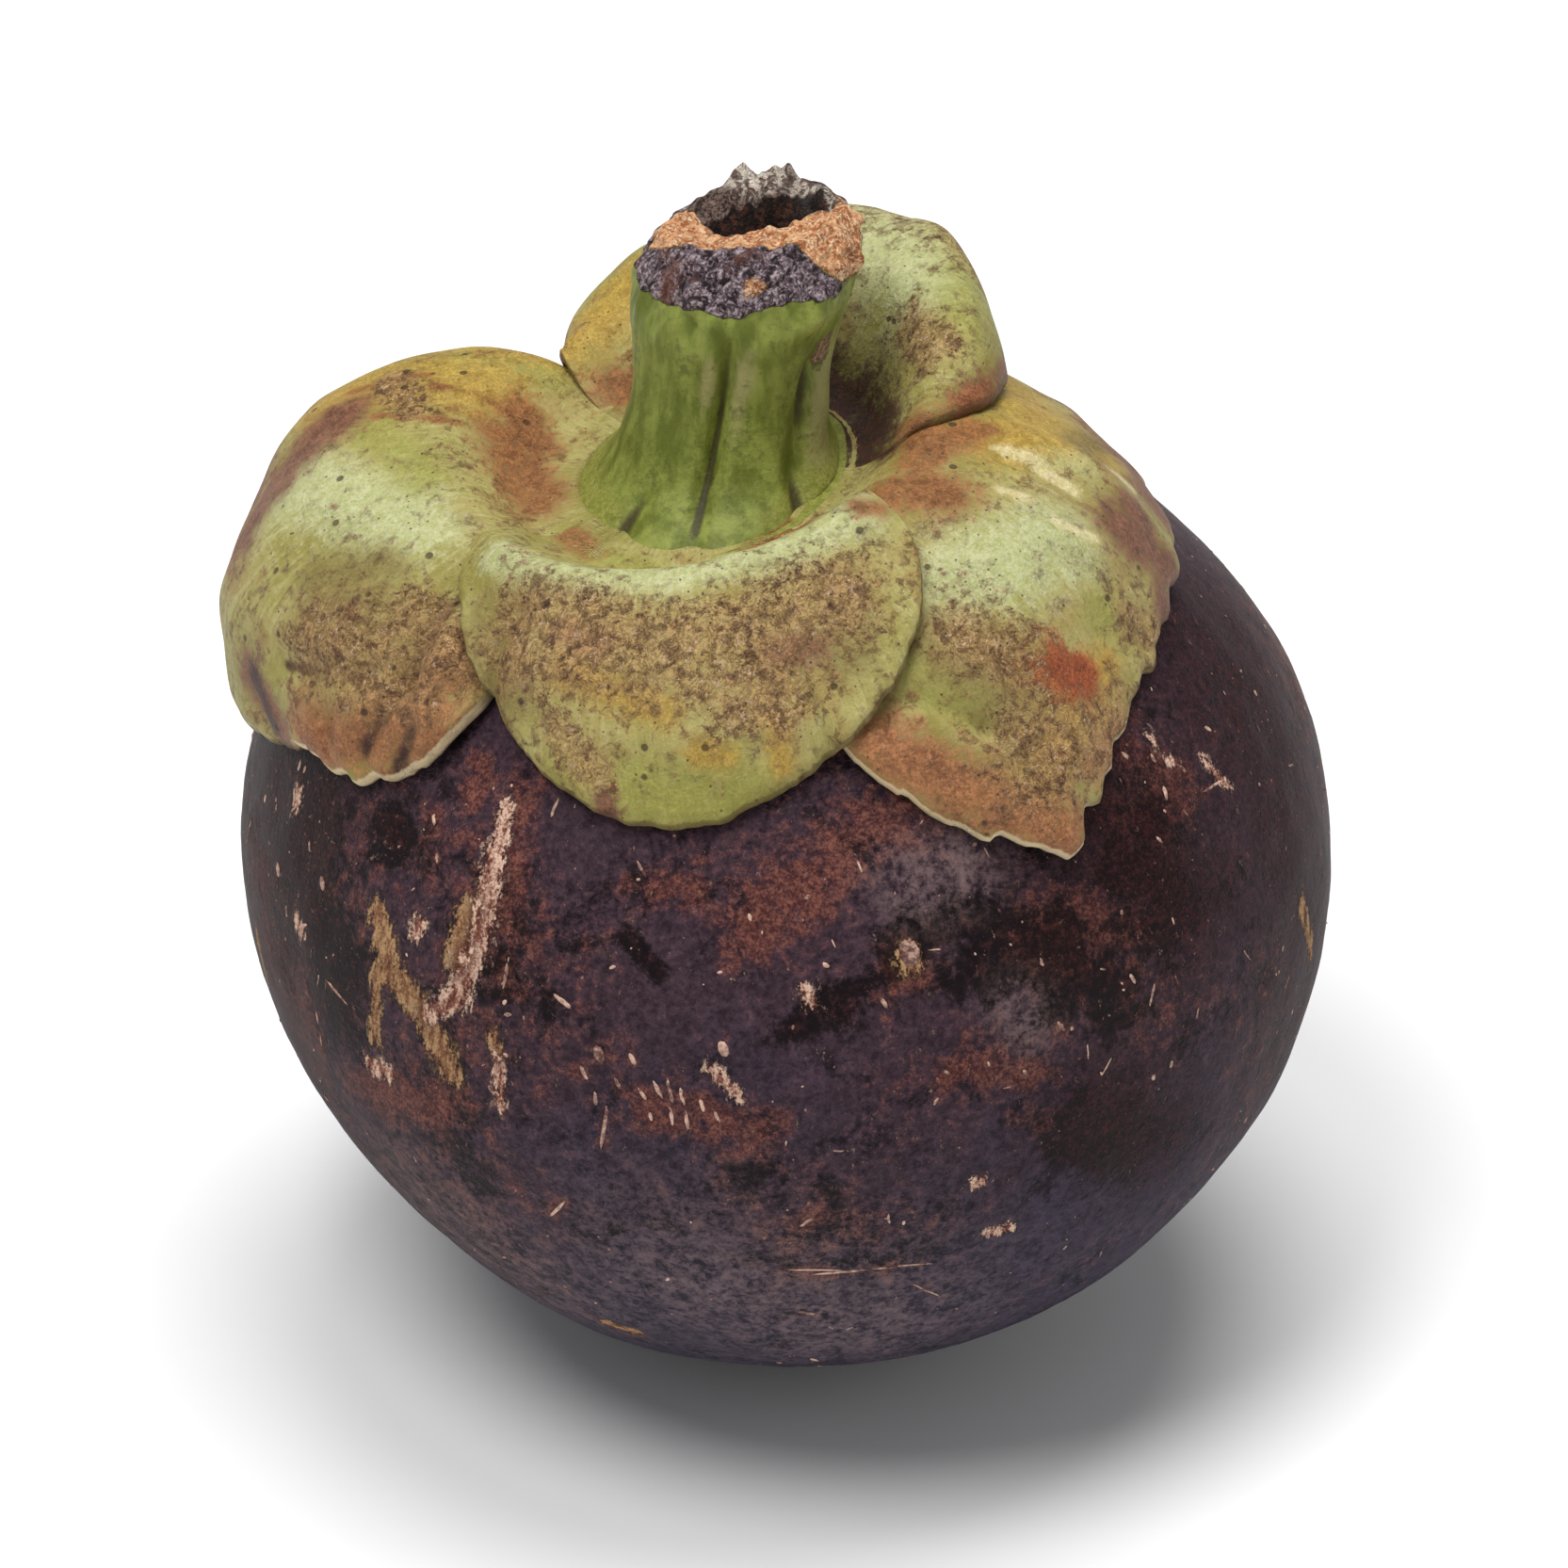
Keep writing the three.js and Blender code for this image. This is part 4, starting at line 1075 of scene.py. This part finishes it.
# the split is darkened with painted shade
dark = within * (1 - smooth_step(behind / narrow, 1.5, 2.2))
crest = on_top * smooth_step(behind, 0.9, 2.4) * np.exp(-(((aside - 0.2) / 2.8) ** 2))


def bump(azimuth, share, wide, high):
    """1 at a place on the flank, falling to nothing past a width in degrees and a height in shares."""
    return np.exp(-((turned_from(azimuth, turn) / wide) ** 2) - ((shares - share) / high) ** 2)


# the flank swells and sinks, the collar is lumpy, and the crest and the split shape the break
outwards = rings - rings.mean(axis=1, keepdims=True)
outwards /= np.maximum(np.linalg.norm(outwards, axis=2, keepdims=True), 1e-9)
swell = (coarse * 0.4 + sharp * 0.35) * collar + lumps(rings, 3.5, 21) * 0.14 * (1 - on_top)
for *place, out in STEM_SWELLS:
    swell += bump(*place) * out
rings += outwards * swell[..., None] * MM
lift = crest * (1.25 + tall * 0.2 + sharp * 0.28 + lumps(rings, 0.4, 17) * 0.4)
rings[..., 2] += (lift - split * 1.1 + on_top * (sharp * 0.4 + coarse * 0.3)) * MM
ends = rings[0].mean(axis=0)[None], rings[-1].mean(axis=0)[None]
stem_points = np.concatenate([ends[0], rings.reshape(-1, 3), ends[1]])
stem = add_piece("stem_wood", stem_points, rings_faces(len(rings), STEM_AROUND), make_stem_wood())
# the collar's lower edge, as a share of the height, dips at the furrow and at a lump on the right
collar_edge = 0.872 - 0.022 * np.exp(-((from_furrow / 13) ** 2)) - 0.065 * bump(324, 0, 24, 9)
collar_edge = collar_edge + coarse * 0.014
corky = smooth_step(shares, collar_edge - 0.012, collar_edge + 0.012)
cork_top = np.interp(turn, *zip(*CORK_TOP)) + coarse * 0.02
broken = smooth_step(shares, cork_top, cork_top + 0.03)
torn = on_top * smooth_step(back - 0.5 - smooth_step(-aside, 1.5, 3.5) * 2.5, -0.3, 0.3)
flare = (1 - smooth_step(shares, 0, 0.3)) * (1 - 0.75 * np.exp(-((from_furrow / 32) ** 4)))
# painted shade down the furrow, and along the skirt's edge where the foot meets the sepals
furrow_shade = np.exp(-((from_furrow / 3.2) ** 2)) * smooth_step(shares, 0.03, 0.12)
furrow_shade *= (1 - smooth_step(shares, 0.3, 0.8) * 0.45) * (shares < STEM["furrow"][3])
skirt_edge = np.exp(-(((shares + 1) / 0.16) ** 2)) * 0.9
marks = {
    "cork": corky * (1 - broken),
    "amber": broken,
    "torn": torn,
    "dark": dark,
    # painted highlight on the crest's high tips and on the torn wood to the right
    "tips": torn * np.maximum(smooth_step(lift, 0.7, 1.25), smooth_step(aside, 1.2, 3.0) * 0.85),
    "foot": flare,
    "scar": 0 * shares,
    "crease": np.maximum(furrow_shade, skirt_edge),
    "tan": 0 * shares,
}
for name, values in marks.items():
    for *place, strength in STEM_PATCHES.get(name, []):
        values = np.maximum(values, bump(*place) * strength)
    mark(stem.data, name, [values[0, 0], *values.ravel(), values[-1, 0]])
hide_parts("stem")
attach(stem, "root")

# The rosette below: what is left of the stigma, a ring of flat woody wedges, one for each segment of the
# fruit. It grew out of the rind, and the fruit stands on it.
ROSETTE_SIZES = {
    "Lobes": 6,
    "Inner end": 0.9 * MM,
    "Outer end": 6.15 * MM,
    "Half angle": 26.5,
    "Thickness": 1.5 * MM,
    "Roundness": 0.45,
    "Bow": 28,  # the outer end is curved back by this times the distance to the side, squared, in metres
}


def make_rosette_cork():
    place, close = new_finish("Mangosteen rosette")
    fine = grain(place, 1.3, 4, 0.65)
    dust = grain(place, 4.5, 3, 0.7)
    colour = shades((66, 44, 36), (112, 80, 58), (fine * 0.6 + dust * 0.4).between(0.42, 0.62))
    colour = lay(colour, paint(150, 122, 92), dust.between(0.6, 0.72) * 0.5)
    return close(colour, fine * 0.1 + 0.72, fine * 0.5 + dust * 0.2, 0.3, Specular_IOR_Level=0.25)


rosette_form, size = new_form("Rosette form", ROSETTE_SIZES)
wedge = Wire(rosette_form).add("GeometryNodeMeshIcoSphere", inputs={"Radius": 1, "Subdivisions": 5})
x, y, z = wedge.add("GeometryNodeInputPosition").vector("NORMALIZE").parts()


def squared(part):
    """Pushes a ball towards a block with round edges."""
    return part.math("SIGN") * part.math("ABSOLUTE") ** size["Roundness"]


out = size["Inner end"] + (size["Outer end"] - size["Inner end"]) * (squared(x) * 0.5 + 0.5)
across = out * (size["Half angle"] * math.radians(1)).math("TANGENT") * squared(y)
up = size["Thickness"] * (squared(z) * 0.5 + 0.5)
rough = (grain(wedge.add("GeometryNodeInputPosition"), 4, 3) - 0.5) * up * 0.35
bowed = {0: out - across * across * size["Bow"], 1: across, 2: up + rough * (z > 0)}
shaped = wedge.add("ShaderNodeCombineXYZ", inputs=bowed)
wedge = wedge.add("GeometryNodeSetPosition", inputs={0: wedge, "Position": shaped})
wedge = wedge.add("GeometryNodeSetShadeSmooth", inputs={0: wedge})
spots = wedge.add("GeometryNodePoints", inputs={"Count": size["Lobes"]})
turned = wedge.add("GeometryNodeInputIndex") * math.tau / size["Lobes"]
facing = wedge.add("ShaderNodeCombineXYZ", inputs={2: turned})
wedges = {"Points": spots, "Instance": wedge, "Rotation": facing}
ring = spots.add("GeometryNodeInstanceOnPoints", inputs=wedges)
rosette = grow("stigma_rosette_cork", ring, ROSETTE_SIZES, make_rosette_cork())
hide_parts("stigma_rosette")
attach(rosette, "root")

# The studio: a pale floor, a large soft light from the upper left, another from above, a weaker one from
# the right, and the camera, which looks down on the fruit from the front.
FLOOR_SIDE = 4.0
CAMERA_DISTANCE = 0.65
CAMERA_TIP = 32  # degrees above the horizon
FIELD = 87 * MM  # how wide the picture is at the fruit
SENSOR = 36  # millimetres
LOOK_AT = Vector((-1.0 * MM, 0, 33.0 * MM))
SKY_STRENGTH = 0.29
# name, place, width, and power in watts
LIGHTS = [
    ("Key light", (-0.30, -0.32, 0.90), 0.45, 5.6),
    ("Fill light", (0.75, -0.45, 0.45), 0.6, 0.8),
    ("Top light", (0.08, 0.10, 0.98), 0.6, 6.6),
]


def make_floor_paper():
    place, close = new_finish("Pale floor")
    cloud = grain(place, 0.02, 3, 0.5)
    colour = lay((0.92, 0.92, 0.92, 1), (0.89, 0.89, 0.895, 1), cloud.between(0.4, 0.6))
    return close(colour, cloud * 0.1 + 0.8, cloud, 0.02, Specular_IOR_Level=0.2)


half = FLOOR_SIDE / 2
corners = np.array([(-half, -half, 0), (half, -half, 0), (half, half, 0), (-half, half, 0)])
floor = add_piece("floor", corners, [[0, 1, 2, 3]], make_floor_paper())
for name, place, side, power in LIGHTS:
    lamp = bpy.data.lights.new(name, "AREA")
    lamp.shape, lamp.size, lamp.energy = "DISK", side, power
    light = bpy.data.objects.new(name, lamp)
    light.location = place
    light.rotation_euler = (LOOK_AT - Vector(place)).to_track_quat("-Z", "Y").to_euler()
    bpy.context.scene.collection.objects.link(light)
world = bpy.data.worlds.new("Studio")
world.use_nodes = True
sky = world.node_tree.nodes["Background"].inputs
sky["Color"].default_value = (1, 1, 1, 1)
sky["Strength"].default_value = SKY_STRENGTH
bpy.context.scene.world = world
bpy.context.scene.view_settings.view_transform = "Standard"
lens = bpy.data.cameras.new("Camera")
lens.sensor_width = SENSOR
lens.lens = SENSOR * CAMERA_DISTANCE / FIELD
lens.clip_start, lens.clip_end = 0.05, 20
camera = bpy.data.objects.new("Camera", lens)
tip = math.radians(CAMERA_TIP)
camera.location = LOOK_AT + CAMERA_DISTANCE * Vector((0, -math.cos(tip), math.sin(tip)))
camera.rotation_euler = (LOOK_AT - camera.location).to_track_quat("-Z", "Y").to_euler()
bpy.context.scene.collection.objects.link(camera)
bpy.context.scene.camera = camera

bpy.context.view_layer.update()
